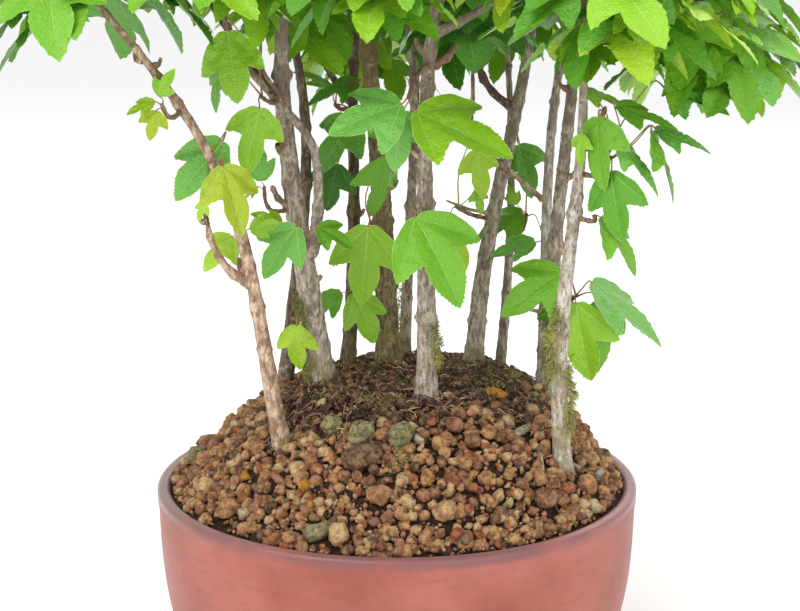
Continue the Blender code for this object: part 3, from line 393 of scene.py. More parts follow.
# Stones and litter: place, heading in degrees, length, width, height, tint.
STONES = (
    (-32.1, -42.2, 10, 12.0, 11.0, 9.0, "mossy"),
    (-16.6, -52.4, 20, 15.0, 12.0, 9.5, "mossy"),
    (1.5, -55.9, 70, 13.0, 12.0, 10.0, "mossy"),
    (-16.3, -66.7, 30, 19.0, 15.0, 10.0, "umber"),
    (-36.2, -97.8, 5, 14.0, 9.0, 8.0, "mossy"),
    (-26.1, -100.8, 40, 11.0, 10.0, 9.0, "tan"),
    (-92.6, -41.2, 60, 12.0, 10.0, 9.5, "tan"),
    (-80.0, -67.0, 20, 12.5, 10.0, 9.0, "ochre"),
    (-70.9, -74.5, 80, 8.0, 7.0, 7.0, "cream"),
    (-72.7, -50.7, 0, 5.4, 5.0, 4.6, "amber"),
    (27.8, -47.7, 30, 9.5, 8.6, 8.0, "brown"),
    (20.3, -60.5, 60, 9.0, 8.4, 7.6, "ochre"),
    (36.0, -56.0, 10, 9.4, 8.2, 7.8, "brown"),
    (44.0, -48.0, 75, 9.0, 8.0, 7.6, "ochre"),
    (30.0, -38.5, 20, 8.4, 7.6, 7.4, "brown"),
    (-98.0, 21.0, 40, 12.0, 10.0, 10.0, "brown"),
    (-102.5, 10.0, 80, 11.0, 9.0, 9.0, "mossy"),
    (49.7, -10.4, -25, 12.0, 5.5, 4.6, "amber"),
    (60.0, -38.0, 58, 17.0, 4.6, 3.2, "driftwood"),
    (-56.0, -62.8, -63, 13.0, 4.4, 3.6, "brown"),
    (-8.0, -86.0, 0, 12.0, 10.5, 9.0, "ochre"),
    (22.0, -92.0, 50, 11.5, 10.0, 9.0, "tan"),
    (70.0, -70.0, 15, 12.0, 10.0, 9.0, "brown"),
    (92.0, -44.0, 70, 11.0, 10.0, 9.5, "ochre"),
    (60.0, 74.0, 30, 13.0, 11.0, 9.0, "mossy"),
    (-40.0, 88.0, 70, 13.0, 11.0, 9.0, "ochre"),
)
ROOTLETS = 2900
ROOTLET_AREA = (14.0, 28.0, 94.0)  # the middle and the radius of the net of rootlets
SOIL_EDGE = 104.0  # no rootlets past this radius
MOSS_EDGE = 106.0
GRAIN_PITCH = 6.0
GRAIN_SIZE = (4.6, 8.4)

# Long roots on the surface: place, the way they run in degrees, length, thickness.
LONG_ROOTS = (
    (-64.0, 26.0, 213, 52, 2.4),
    (-72.0, 10.0, 196, 36, 1.8),
    (-60.0, -32.0, 205, 30, 1.5),
    (-46.0, -50.0, 8, 17, 1.7),
    (60.0, 30.0, 320, 36, 1.8),
    (20.0, -14.0, 290, 18, 1.2),
    (70.0, -46.0, 250, 26, 1.5),
    (30.0, 84.0, 60, 34, 2.0),
    (-50.0, 70.0, 120, 30, 2.0),
)

# Moss up a stem: the limb, the stretch of it, the side and its spread in degrees, how many tufts
# and their size.
MOSS_RUNS = (
    ("trunk_left_main", 0.04, 0.27, 200, 26, 230, 4.0),
    ("trunk_middle_thick", 0.08, 0.30, 345, 30, 80, 3.0),
    ("trunk_middle_front", 0.11, 0.23, 350, 32, 110, 3.4),
    ("trunk_right_leaning", 0.0, 0.08, 270, 60, 26, 1.6),
    ("trunk_right_front", 0.31, 0.47, 200, 50, 170, 4.2),
    ("trunk_right_front", 0.17, 0.34, 350, 45, 190, 4.6),
    ("trunk_right_main", 0.12, 0.40, 230, 50, 130, 3.4),
)
# Moss on the soil: place, spread, tufts, its main tone and the share that has it.
MOSS_PATCHES = (
    (-35.0, 33.0, 7.0, 70, "straw", 0.6),
    (-31.0, -6.0, 7.0, 50, "straw", 0.7),
    (-6.0, -24.0, 6.0, 60, "straw", 0.6),
    (43.0, 17.0, 8.0, 130, "dark", 0.6),
    (62.0, 24.0, 8.0, 120, "straw", 0.5),
    (52.0, 2.0, 7.0, 70, "dark", 0.5),
    (1.5, -66.0, 4.0, 50, "straw", 0.8),
    (-46.0, -38.0, 6.0, 40, "straw", 0.5),
    (74.0, -8.0, 7.0, 50, "dark", 0.4),
    (0.0, 20.0, 30.0, 120, "green", 0.4),
    (-30.0, 60.0, 16.0, 90, "green", 0.5),
    (30.0, 70.0, 14.0, 80, "straw", 0.4),
    (-70.0, 10.0, 10.0, 40, "straw", 0.5),
)
MOSS_TONES = {
    "green": "#8A9144",
    "straw": "#AFA552",
    "dark": "#454A1E",
}
MOSS_SHARES = {"straw": 5, "green": 4, "dark": 2}  # on the stems

# Roots: pale and dark tone of each piece, and its finish.
ROOT_TONES = {
    "surface_roots": ("old_root", "#6E5A48", "#A8937A"),
    "rootlets_dark": ("feeder_root", "#2E1B17", "#6E4A38"),
    "rootlets_tan": ("dry_root", "#98705A", "#CFAE88"),
}

BARK_SLIM = 0.92  # the stem under its knots and ridges, as a share of its whole girth
# How finely bark is drawn: points round the stem, and how far apart its rings are.
TRUNK_SKIN = (30, 1.3)
BOUGH_SKIN = (18, 1.0)

# Bark tones: pale and dark of the stripes, blotches, how much moss stain, how many flecks.
BARKS = {
    "tan": ("#D8BFA6", "#8E6F58", "#7E5D49", 0.1, 0.5),
    "pink_grey": ("#D8CABB", "#8C7868", "#87746A", 0.35, 0.6),
    "brown": ("#A6926E", "#65543D", "#76663F", 0.8, 0.6),
    "grey": ("#C8BCAC", "#7A6A58", "#837262", 0.35, 0.6),
    "pale_grey": ("#DAD1C4", "#8F8072", "#978878", 0.35, 0.6),
    "dark": ("#968270", "#524236", "#5C4A3E", 0.2, 0.5),
}
LIMB_BARKS = {
    "trunk_left_front": ("tan", 1.0),
    "trunk_left_back": ("dark", 0.8),
    "trunk_left_main": ("pink_grey", 1.2),
    "trunk_middle_slim": ("dark", 1.0),
    "trunk_middle_thick": ("brown", 1.4),
    "trunk_middle_back": ("grey", 0.8),
    "trunk_middle_front": ("grey", 1.1),
    "trunk_right_leaning": ("grey", 1.1),
    "trunk_right_slim": ("grey", 0.8),
    "trunk_right_back": ("pale_grey", 1.0),
    "trunk_right_main": ("grey", 1.3),
    "trunk_right_front": ("pale_grey", 1.1),
    "bough_left_front_low": ("tan", 1.2),
    "bough_left_main_second": ("pink_grey", 1.2),
    "bough_left_main_side": ("dark", 1.0),
    "bough_middle_slim_left": ("dark", 1.0),
    "bough_middle_thick_front": ("dark", 1.0),
    "bough_middle_back_rear": ("dark", 1.0),
    "bough_middle_front_right": ("grey", 1.2),
    "bough_right_leaning_left": ("dark", 1.0),
    "bough_right_main_side": ("pale_grey", 1.0),
}

# Cut stubs, spurs and thin side shoots: the limb and how far up it, the way it leaves and the
# way it turns to (azimuth and elevation), length, and diameter at each end.
SPURS = (
    ("trunk_left_front", 0.49, 150, 30, (110, 75), 9.0, 3.4, 2.6),
    ("trunk_left_front", 0.90, 160, 10, (120, 60), 7.0, 2.8, 2.2),
    ("trunk_left_front", 0.885, 20, 20, (60, 60), 6.0, 2.6, 2.0),
    ("bough_left_front_low", 0.99, 170, 20, (150, 60), 4.5, 2.4, 2.4),
    ("trunk_left_main", 0.455, 200, 40, (160, 62), 14.0, 3.4, 2.4),
    ("trunk_left_main", 0.40, 190, 10, (190, 40), 5.0, 4.0, 3.0),
    ("trunk_left_main", 0.56, 230, 30, (240, 50), 6.0, 5.0, 3.4),
    ("trunk_left_main", 0.30, 330, 20, (350, 50), 5.0, 3.6, 2.6),
    ("bough_left_main_second", 0.60, 230, 30, (250, 60), 6.0, 3.6, 2.6),
    ("bough_left_main_second", 0.56, 200, 60, (120, 86), 46.0, 2.2, 1.2),
    ("trunk_middle_slim", 0.42, 10, 30, (30, 60), 5.0, 2.4, 1.8),
    ("trunk_middle_thick", 0.42, 350, 20, (10, 60), 8.0, 2.2, 1.4),
    ("trunk_middle_back", 0.32, 0, 20, (20, 50), 5.0, 2.2, 1.6),
    ("trunk_middle_front", 0.72, 160, 30, (150, 70), 9.0, 3.8, 2.8),
    ("trunk_middle_front", 0.70, 10, 30, (30, 50), 15.0, 4.2, 2.8),
    ("trunk_middle_front", 0.55, 200, 20, (190, 50), 5.0, 3.0, 2.2),
    ("trunk_right_leaning", 0.42, 195, 14, (170, 20), 24.0, 2.0, 1.2),
    ("trunk_right_slim", 0.40, 350, 20, (20, 50), 7.0, 2.0, 1.4),
    ("trunk_right_back", 0.26, 200, 12, (170, 6), 19.0, 1.8, 1.0),
    ("trunk_right_back", 0.50, 170, 40, (100, 84), 96.0, 3.0, 1.6),
    ("trunk_right_main", 0.55, 340, 30, (10, 60), 8.0, 3.0, 2.2),
    ("trunk_right_main", 0.70, 200, 30, (180, 60), 9.0, 2.8, 1.8),
    ("trunk_right_front", 0.80, 350, 40, (10, 70), 16.0, 2.6, 2.2),
    ("trunk_right_front", 0.58, 190, 30, (160, 50), 6.0, 2.6, 1.8),
    ("trunk_middle_thick", 0.55, 100, 30, (90, 60), 10.0, 3.0, 2.0),
    ("trunk_right_leaning", 0.60, 80, 30, (90, 60), 9.0, 2.8, 1.8),
)

# Studio: the view's place and lens, and lamps as place, aim, size and power, in metres and watts.
EYE_PLACE = (0.0015, -0.8554, 0.3749)
EYE_PITCH = 77.3845  # degrees up from straight down
LENS = 79.27
LAMPS = (
    ("key_light", (-0.9, -1.1, 1.6), (0.0, 0.0, 0.25), 1.2, 22.0),
    ("back_light", (0.5, 1.2, 1.5), (0.0, 0.0, 0.35), 1.4, 14.0),
    ("front_light", (0.9, -1.5, 0.6), (0.0, 0.0, 0.2), 1.4, 8.0),
)


def heading(azimuth, elevation):
    """The unit vector at an azimuth and an elevation in degrees."""
    a = math.radians(azimuth)
    e = math.radians(elevation)
    return Vector((math.cos(a) * math.cos(e), math.sin(a) * math.cos(e), math.sin(e)))


def across(direction, toward):
    """The part of toward that is square to direction, as a unit vector."""
    side = toward - direction * toward.dot(direction)
    if side.length < 1e-6:
        side = direction.orthogonal()
    return side.normalized()


def mound_share(x, y):
    """The share of the way from the crest to the rim at a place, and that way."""
    offset = Vector((x - MOUND_CREST[0], y - MOUND_CREST[1]))
    crest = Vector(MOUND_CREST)
    way = offset.normalized() if offset.length > 1e-6 else Vector((1.0, 0.0))
    along = crest.dot(way)
    edge = math.sqrt(along * along - crest.length_squared + SOIL_RADIUS ** 2) - along
    return offset.length / edge, way


def mound(x, y):
    """Height of the soil's surface over the point x, y."""
    share = min(mound_share(x, y)[0], 1.0)
    swell = (1.0 - share ** MOUND_FLATNESS) ** MOUND_STEEPNESS
    return POT_HEIGHT + MOUND_EDGE + (MOUND_HEIGHT - MOUND_EDGE) * swell


def wall_radius(depth):
    """The outer radius of the pot's wall at a depth below the rim."""
    return POT_RADIUS * (1.0 - POT_TAPER * (depth / POT_TAPER_DEPTH) ** 3)


def ring_quads(rings, sides):
    """The faces between rings of points that follow one another."""
    quads = []
    for i in range(rings - 1):
        for k in range(sides):
            n = (k + 1) % sides
            low = i * sides
            quads.append((low + k, low + n, low + sides + n, low + sides + k))
    return quads


def end_fans(last, sides, foot, top):
    """The faces that close the first ring onto the point foot and the last one onto top."""
    fans = []
    for k in range(0, sides, 2):
        n = (k + 1) % sides
        m = (k + 2) % sides
        fans += [(foot, m, n, k), (top, last + k, last + n, last + m)]
    return fans


def rings_along(path, radii, sides):
    """Rings of points round a path, from its first point to its last."""
    points = []
    side = across((path[1] - path[0]).normalized(), Vector((0.31, 0.17, 1.0)))
    last = len(path) - 1
    for i, point in enumerate(path):
        direction = (path[min(i + 1, last)] - path[max(i - 1, 0)]).normalized()
        side = across(direction, side)
        other = direction.cross(side)
        for k in range(sides):
            a = 2 * math.pi * k / sides
            points.append(point + (side * math.cos(a) + other * math.sin(a)) * radii[i])
    return points


class Limb:
    """A tapering limb: its axis as closely spaced points, and its radius at each."""

    def __init__(self, axis, radii):
        self.axis = axis
        self.radii = radii

    def at(self, share):
        """The point, the direction and the radius at a share of the limb's length."""
        place = share * (len(self.axis) - 1)
        i = min(int(place), len(self.axis) - 2)
        f = place - i
        point = self.axis[i].lerp(self.axis[i + 1], f)
        direction = (self.axis[i + 1] - self.axis[i]).normalized()
        return point, direction, self.radii[i] * (1 - f) + self.radii[i + 1] * f


def trunk_limb(row):
    """The axis and the radii of a trunk, from its row of sizes."""
    x, y, rise, lean_x, lean_y, bow_x, bow_y, sway_x, foot, tip = row
    flared = foot / 2 * (1 + ROOT_FLARE)
    around = [mound(x + flared * math.cos(a), y + flared * math.sin(a)) for a in range(6)]
    start = Vector((x, y, min(around) - FOOT_SINK))
    axis = []
    radii = []
    for i in range(TRUNK_RINGS):
        t = (i / (TRUNK_RINGS - 1)) ** 1.25
        bow = math.sin(math.pi * t)
        sway = math.sin(2 * math.pi * t)
        axis.append(start + Vector((
            lean_x * t + bow_x * bow + sway_x * sway,
            lean_y * t + bow_y * bow,
            rise * t)))
        stem = tip + (foot - tip) * (1 - t) ** 0.85
        flare = 1 + ROOT_FLARE * math.exp(-rise * t / ROOT_FLARE_HEIGHT)
        radii.append(stem / 2 * flare)
    return Limb(axis, radii)


def bough_axis(start, headings, length):
    """A bough's axis, which turns evenly through its headings."""
    turns = [heading(*pair) for pair in headings]
    step = length / (BOUGH_RINGS - 1)
    axis = [start.copy()]
    for i in range(BOUGH_RINGS - 1):
        place = (i + 0.5) / (BOUGH_RINGS - 1) * (len(turns) - 1)
        k = min(int(place), len(turns) - 2)
        axis.append(axis[-1] + turns[k].lerp(turns[k + 1], place - k).normalized() * step)
    return axis


def limb_mesh(limb, sides, start_normal, lobes=0.0):
    """Rings of points round a limb's axis, the first one square to start_normal, and faces."""
    count = len(limb.axis)
    points = []
    side = across(start_normal, Vector((1.0, 0.13, 0.21)))
    for i in range(count):
        before = limb.axis[max(i - 1, 0)]
        after = limb.axis[min(i + 1, count - 1)]
        direction = (after - before).normalized()
        if i == 0:
            direction = start_normal
        side = across(direction, side)
        other = direction.cross(side)
        height = (limb.axis[i] - limb.axis[0]).length
        for k in range(sides):
            a = 2 * math.pi * k / sides
            lobe = 1 + lobes * math.cos(ROOT_LOBES * a + limb.axis[0].x) * math.exp(
                -height / ROOT_FLARE_HEIGHT)
            ray = side * math.cos(a) + other * math.sin(a)
            points.append(limb.axis[i] + ray * limb.radii[i] * lobe)
    ends = [tuple(reversed(range(sides))), tuple(range((count - 1) * sides, count * sides))]
    return points, ends + ring_quads(count, sides)


def tree_of(points, faces):
    """A tree for finding which faces of two shapes cross."""
    return BVHTree.FromPolygons([Vector(p) for p in points], faces)


def seat(point, radial, radius, shape_at, wall):
    """Where a side limb starts along radial, so that its shape is a touch gap clear of a wall."""
    for push in range(SEAT_TRIES):
        start = point + radial * (radius * SEAT_START + TOUCH_GAP + SEAT_STEP * push)
        points, faces = shape_at(start)
        if not tree_of([p - radial * TOUCH_GAP for p in points], faces).overlap(wall):
            break
    return start


def bough_limb(start, headings, length, thick, thin):
    """A bough's axis and radii."""
    axis = bough_axis(start, headings, length)
    last = len(axis) - 1
    return Limb(axis, [(thick + (thin - thick) * (i / last) ** 0.8) / 2 for i in range(last + 1)])


def leaf_shape(root, base, direction, normal, length, swell=0.0):
    """A leaf of six faces: its stalk runs from root to base, its blade on along direction."""
    up = across(direction, normal)
    side = up.cross(direction)
    half = length * LEAF_SPREAD / 2 + swell
    middle = base + direction * (length * LEAF_SHOULDER) - up * swell
    points = [
        root,
        middle + side * half,
        middle + up * (LEAF_THICK + swell * 2),
        middle - side * half,
        base + direction * (length + swell),
    ]
    return points, [(0, 1, 2), (0, 2, 3), (0, 3, 1), (4, 2, 1), (4, 3, 2), (4, 1, 3)]


def twig_shape(path, thick, thin, swell=0.0):
    """A three-sided twig along a path, from its thick end to its thin end."""
    last = len(path) - 1
    radii = [(thick + (thin - thick) * i / last) / 2 + swell for i in range(last + 1)]
    ends = [(2, 1, 0), (last * 3, last * 3 + 1, last * 3 + 2)]
    return rings_along(path, radii, 3), ends + ring_quads(last + 1, 3)


def add_shapes(shapes):
    """The points and faces of several shapes as one."""
    points = []
    faces = []
    for some_points, some_faces in shapes:
        base = len(points)
        points += some_points
        faces += [tuple(base + i for i in face) for face in some_faces]
    return points, faces


class Mass:
    """A foliage mass in the making: its stem, twigs and leaves, and what they keep clear of."""

    def __init__(self, draw, heart=None, size=None):
        self.draw = draw
        self.heart = heart
        self.size = size
        self.blocked = None
        self.stem = []
        self.twigs = []
        self.leaves = []
        self.paths = []
        self.blades = []

    def holds(self, point):
        """True if a point lies in the mass's space, or the mass has no bound."""
        if self.size is None:
            return True
        return sum(((point[i] - self.heart[i]) / self.size[i]) ** 2 for i in range(3)) < 1.0

    def add_stem(self, start, way, end, blocked):
        """The stem, from its seat along way and round to end, by the first clear path."""
        for attempt in range(STEM_TRIES):
            aside = Vector(self.draw.uniform(-1, 1) for k in range(3)) * (STEM_SHIFT * attempt)
            lead = way * STEM_LEAD + aside
            self.stem = [start] + bend(start + way * STEM_STUB, lead, end, STEM_STEPS)
            probe = twig_shape(self.stem, STEM_DIAMETER, TWIG_DIAMETER, SKIN / 2)
            if not tree_of(*probe).overlap(blocked):
                break
        self.twigs.append(twig_shape(self.stem, STEM_DIAMETER, TWIG_DIAMETER))

    def add_twig(self, path, thick, thin):
        """A twig along a path, if it keeps clear of everything outside the mass."""
        for skin in (0.0, SKIN):
            if tree_of(*twig_shape(path, thick, thin, skin)).overlap(self.blocked):
                return False
        self.twigs.append(twig_shape(path, thick, thin))
        self.paths.append((path, thick, thin))
        return True

    def add_leaf(self, node, base, direction, normal, length, skin=SKIN):
        """A leaf with its root sunk in a twig at node, if it keeps clear and in its space."""
        if not self.holds(base + direction * (length * LEAF_SHOULDER)):
            return False
        away = (base - node).normalized()
        for swell in (0.0, skin):
            probe = leaf_shape(node, base, direction, normal, length, swell)
            if tree_of(*probe).overlap(self.blocked):
                return False
        probe = leaf_shape(node + away * ROOT_CLEAR, base, direction, normal, length, skin)
        if tree_of(*probe).overlap(tree_of(*add_shapes(self.twigs + self.leaves))):
            return False
        self.leaves.append(leaf_shape(node, base, direction, normal, length))
        self.blades.append((node, base, direction, normal, length))
        return True


def bend(start, first, end, steps):
    """A smooth path from start, leaving along the vector first, to end."""
    knee = start + first
    path = []
    for i in range(steps + 1):
        t = i / steps
        path.append(start.lerp(knee, t).lerp(knee.lerp(end, t), t))
    return path


def start_spray(mass, row, limbs, shapes, blocked):
    """The stem of a low spray, from the side or the tip of its limb."""
    carrier, share, reach, _ = row
    point, direction, radius = limbs[carrier].at(share)
    end = point + Vector(reach)
    if share == 1.0:
        mass.add_stem(point + direction * TOUCH_GAP, direction, end, blocked)
        return
    radial = across(direction, Vector(reach))

    def shape_at(start):
        return twig_shape([start, start + radial], STEM_DIAMETER, STEM_DIAMETER)

    start = seat(point, radial, radius, shape_at, tree_of(*shapes[carrier]))
    mass.add_stem(start, radial, end, blocked)


def grow_spray(mass, row):
    """The leaves of a low spray, each on its own petiole from the end of the stem."""
    end = mass.stem[-1]
    for i, (x, y, z, clock, lean, roll, length) in enumerate(row[3]):
        a = math.radians(clock)
        b = math.radians(lean)
        pointing = Vector((math.cos(a) * math.cos(b), -math.sin(b), math.sin(a) * math.cos(b)))
        face = Matrix.Rotation(math.radians(roll), 3, pointing) @ across(pointing, LEAF_FACE)
        node = end.lerp(mass.stem[-2], 0.15 + 0.18 * (i % 5))
        for attempt in range(SPRAY_TRIES):
            depth = (attempt + 1) // 2 * SPRAY_STEP * (-1) ** attempt
            base = end + Vector((x, y + depth, z))
            if (base - node).length < PETIOLE:
                if mass.add_leaf(node, base, pointing, face, length):
                    break
                continue
            along = (base - node).normalized()
            clear = twig_shape([node + along * ROOT_CLEAR, base], PETIOLE_CLEAR, PETIOLE_CLEAR)
            if tree_of(*clear).overlap(mass.blocked):
                continue
            if mass.add_leaf(base - along * ROOT_SINK, base + pointing, pointing, face, length):
                mass.twigs.append(twig_shape([node, base], PETIOLE_DIAMETER, PETIOLE_DIAMETER))
                mass.blades[-1] = (node, base, pointing, face, length)
                break


def leaf_heading(petiole, hang):
    """The direction of a blade: outwards from its petiole, hanging under its own weight."""
    level = Vector((petiole.x, petiole.y, 0.0)).normalized()
    return (level - Vector((0, 0, hang))).normalized()


def start_crown(mass, row, limbs, blocked):
    """The stem of a crown mass, from the tip of its limb to the middle of its space."""
    point, direction, _ = limbs[row[0]].at(1.0)
    mass.add_stem(point + direction * TOUCH_GAP, direction, Vector(row[1]), blocked)


def crown_twig(mass, row, rise, azimuth):
    """A twig from the stem of a crown mass into its space, or None where nothing is clear."""
    draw = mass.draw
    flat = math.sqrt(max(0.0, 1.0 - rise * rise))
    outward = Vector((math.cos(azimuth) * flat, math.sin(azimuth) * flat, rise))
    node = mass.stem[-1 - len(mass.twigs) % 3]
    for attempt in range(TWIG_TRIES):
        reach = draw.uniform(*TWIG_REACH)
        end = Vector(row[1]) + Vector(outward[k] * row[2][k] * reach for k in range(3))
        twig = bend(node, Vector((0, 0, draw.uniform(*TWIG_ARCH))), end, 2)
        if mass.add_twig(twig, TWIG_DIAMETER, TWIG_DIAMETER * TWIG_TAPER):
            return twig, outward
        outward = (outward + Vector(draw.uniform(-0.4, 0.4) for k in range(3))).normalized()
    return None


def try_leaf(mass, place, petiole, rule, normal=None):
    """A crown leaf on a petiole from a place on a twig, by the first try that is clear."""
    draw = mass.draw
    tries, scatter, sizes, shrink, petioles, skin = rule
    for attempt in range(tries):
        jitter = Vector(draw.uniform(-scatter, scatter) for k in range(3))
        away = (petiole + jitter).normalized()
        length = LEAF_LENGTH * draw.uniform(*sizes) * (1.0 - shrink * attempt)
        base = place + away * (PETIOLE * draw.uniform(*petioles))
        blade = leaf_heading(away, draw.uniform(*LEAF_HANG))
        face = normal or Vector((away.x * 0.4, away.y * 0.4, 1.0))
        if mass.add_leaf(place, base, blade, face, length, skin):
            return


def leaf_sites(twig):
    """Where leaves leave a twig, and the ways their petioles point: one at its end, then pairs."""
    along = (twig[-1] - twig[-2]).normalized()
    level = across(along, Vector((0, 0, 1)))
    side = along.cross(level)
    swing = math.radians(PETIOLE_SWING)
    sites = [(twig[-1] - along * (TWIG_DIAMETER / 2), along)]
    for k, (back, hand) in enumerate(LEAF_SITES):
        turn = side if k < 2 else side * 0.6 + level * 0.8
        petiole = along * math.cos(swing) + turn * (math.sin(swing) * hand)
        sites.append((twig[-1].lerp(twig[-2], back), petiole))
    return sites


def grow_crown(mass, row):
    """The twigs of a crown mass, all round its stem, with leaves in pairs on each."""
    draw = mass.draw
    count = row[3]
    spin = draw.uniform(0, 360)
    high, low = TWIG_RISE
    for i in range(count + 1):
        rise = 1.0 if i == count else high + (low - high) * (i + 0.5) / count
        grown = crown_twig(mass, row, rise, math.radians(spin + GOLDEN_ANGLE * i))
        if not grown:
            continue
        twig, outward = grown
        normal = Vector((outward.x * 0.5, outward.y * 0.5, 1.0))
        for place, petiole in leaf_sites(twig):
            try_leaf(mass, place, petiole, CROWN_LEAF, normal)


# Colours, materials and meshes

def hexed(code):
    """An sRGB hex colour as linear red, green, blue and a full alpha."""
    values = [int(code[i:i + 2], 16) / 255 for i in (1, 3, 5)]
    return (*(v / 12.92 if v <= 0.04045 else ((v + 0.055) / 1.055) ** 2.4 for v in values), 1.0)


def new_finish(name, **sockets):
    """A material whose shader has the named sockets set, its nodes and where a point is on it."""
    made = bpy.data.materials.new(name)
    made.use_nodes = True
    tree = made.node_tree
    shader = tree.nodes["Principled BSDF"]
    for socket, value in sockets.items():
        shader.inputs[socket.replace("_", " ")].default_value = value
    return made, tree, shader, put(tree, "TexCoord", {}, "Object")


def dress(tree, shader, **links):
    """Links what was worked out for the named sockets of a shader."""
    for socket, source in links.items():
        tree.links.new(source, shader.inputs[socket.replace("_", " ")])


def put(tree, kind, inputs, out=0, **fields):
    """Adds a shader node with its fields set and gives one of its outputs.

    Each input is given a value, an sRGB hex colour or a link.
    """
    made = tree.nodes.new("ShaderNode" + kind)
    for field, value in fields.items():
        setattr(made, field, value)
    for place, value in inputs.items():
        if isinstance(value, bpy.types.NodeSocket):
            tree.links.new(value, made.inputs[place])
        else:
            made.inputs[place].default_value = hexed(value) if isinstance(value, str) else value
    return made.outputs[out]


def mottled(tree, place, under, over, size, span, most=1.0, lift=None, **grain):
    """A colour with another over it in cloudy patches of a size in millimetres.

    The patches set in and are full at the two values of span, and are at most this strong. A
    lift is added to the cloud, so that the patches come and go with it.
    """
    cloud = put(tree, "TexNoise", {"Vector": place, "Scale": per_mm(size), **grain})
    if lift is not None:
        cloud = put(tree, "Math", {0: cloud, 1: lift}, operation="ADD")
    part = put(tree, "MapRange", {"Value": cloud, 1: span[0], 2: span[1], 4: most})
    return put(tree, "Mix", {0: part, 6: under, 7: over}, 2, data_type="RGBA")


def per_mm(size):
    """The texture scale that gives features of this size in millimetres."""
    return 1000.0 / size


def mesh_piece(name, parts, finish, nodes=()):
    """One piece from several (points, faces) arrays in mm."""
    points = np.concatenate([np.asarray(p, float).reshape(-1, 3) for p, f in parts])
    starts = np.cumsum([0] + [len(p) for p, f in parts[:-1]])
    faces = np.concatenate([np.asarray(f, int) + s for (p, f), s in zip(parts, starts)])
    mesh = bpy.data.meshes.new(name)
    mesh.vertices.add(len(points))
    mesh.vertices.foreach_set("co", (points * MM).ravel())
    mesh.loops.add(faces.size)
    mesh.loops.foreach_set("vertex_index", faces.ravel())
    mesh.polygons.add(len(faces))
    mesh.polygons.foreach_set("loop_start", np.arange(0, faces.size, faces.shape[1]))
    mesh.update(calc_edges=True)
    mesh.shade_smooth()
    mesh.materials.append(finish)
    thing = bpy.data.objects.new(name, mesh)
    bpy.context.scene.collection.objects.link(thing)
    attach(thing, "root")
    if nodes:
        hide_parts(*nodes)


def as_rows(vectors):
    """Vectors as an array with one row each."""
    return np.array([tuple(v) for v in vectors], float)


def rounded(path, per_span):
    """A path with smooth curves through its points, several points to a span."""
    ends = [path[0] * 2 - path[1]] + list(path) + [path[-1] * 2 - path[-2]]
    fine = []
    for i in range(1, len(ends) - 2):
        a, b, c, d = ends[i - 1:i + 3]
        for k in range(per_span):
            t = k / per_span
            fine.append((b * 2 + (c - a) * t + (a * 2 - b * 5 + c * 4 - d) * t ** 2
                         + (b * 3 - a - c * 3 + d) * t ** 3) / 2)
    fine.append(path[-1].copy())
    return fine


def tube(path, radii, sides):
    """A round tube along a path, as rows of points and of quads."""
    return as_rows(rings_along(path, radii, sides)), np.array(ring_quads(len(path), sides))


# Leaves

def blade_outline(reach, spread, waist, tooth, spans):
    """The right half of a three-lobed blade's edge, from its base to its tip."""
    notch = 0.24 + 0.46 * reach
    rest = 1.0 - notch
    runs = (
        ((0.0, 0.0), (-0.012, 0.06), (0.0, 0.13), (0.12 * reach, 0.46 * spread),
         (0.28 * reach, 0.68 * spread), (0.50 * reach, 0.84 * spread),
         (0.77 * reach, 0.95 * spread), (reach, spread)),
        ((reach, spread), (reach + 0.012, spread - 0.07), (reach - 0.005, (spread + waist) * 0.52),
         (notch, waist)),
        ((notch, waist), (notch + 0.16 * rest, waist * 1.12), (notch + 0.38 * rest, waist * 1.12),
         (notch + 0.62 * rest, waist * 0.86), (notch + 0.85 * rest, waist * 0.42), (1.0, 0.0)),
    )
    edge = []
    for run, per_span in zip(runs, spans):
        fine = rounded([Vector((x, y, 0.0)) for x, y in run], per_span)
        edge += fine[:-1]
    edge.append(Vector((1.0, 0.0, 0.0)))
    toothed = []
    for i, point in enumerate(edge):
        out = Vector((0.0, 0.0, 0.0))
        if point.x > 0.02 and 3 < i < len(edge) - 2 and i % 2:
            along = (edge[i + 1] - edge[i - 1]).normalized()
            big = tooth * (0.65 + 0.35 * math.sin(i * 2.3)) * min(1.0, 0.4 + point.x)
            out = Vector((-along.y, along.x, 0.0)) * big + Vector((big * 0.9, 0.0, 0.0))
        toothed.append(point + out)
    return toothed


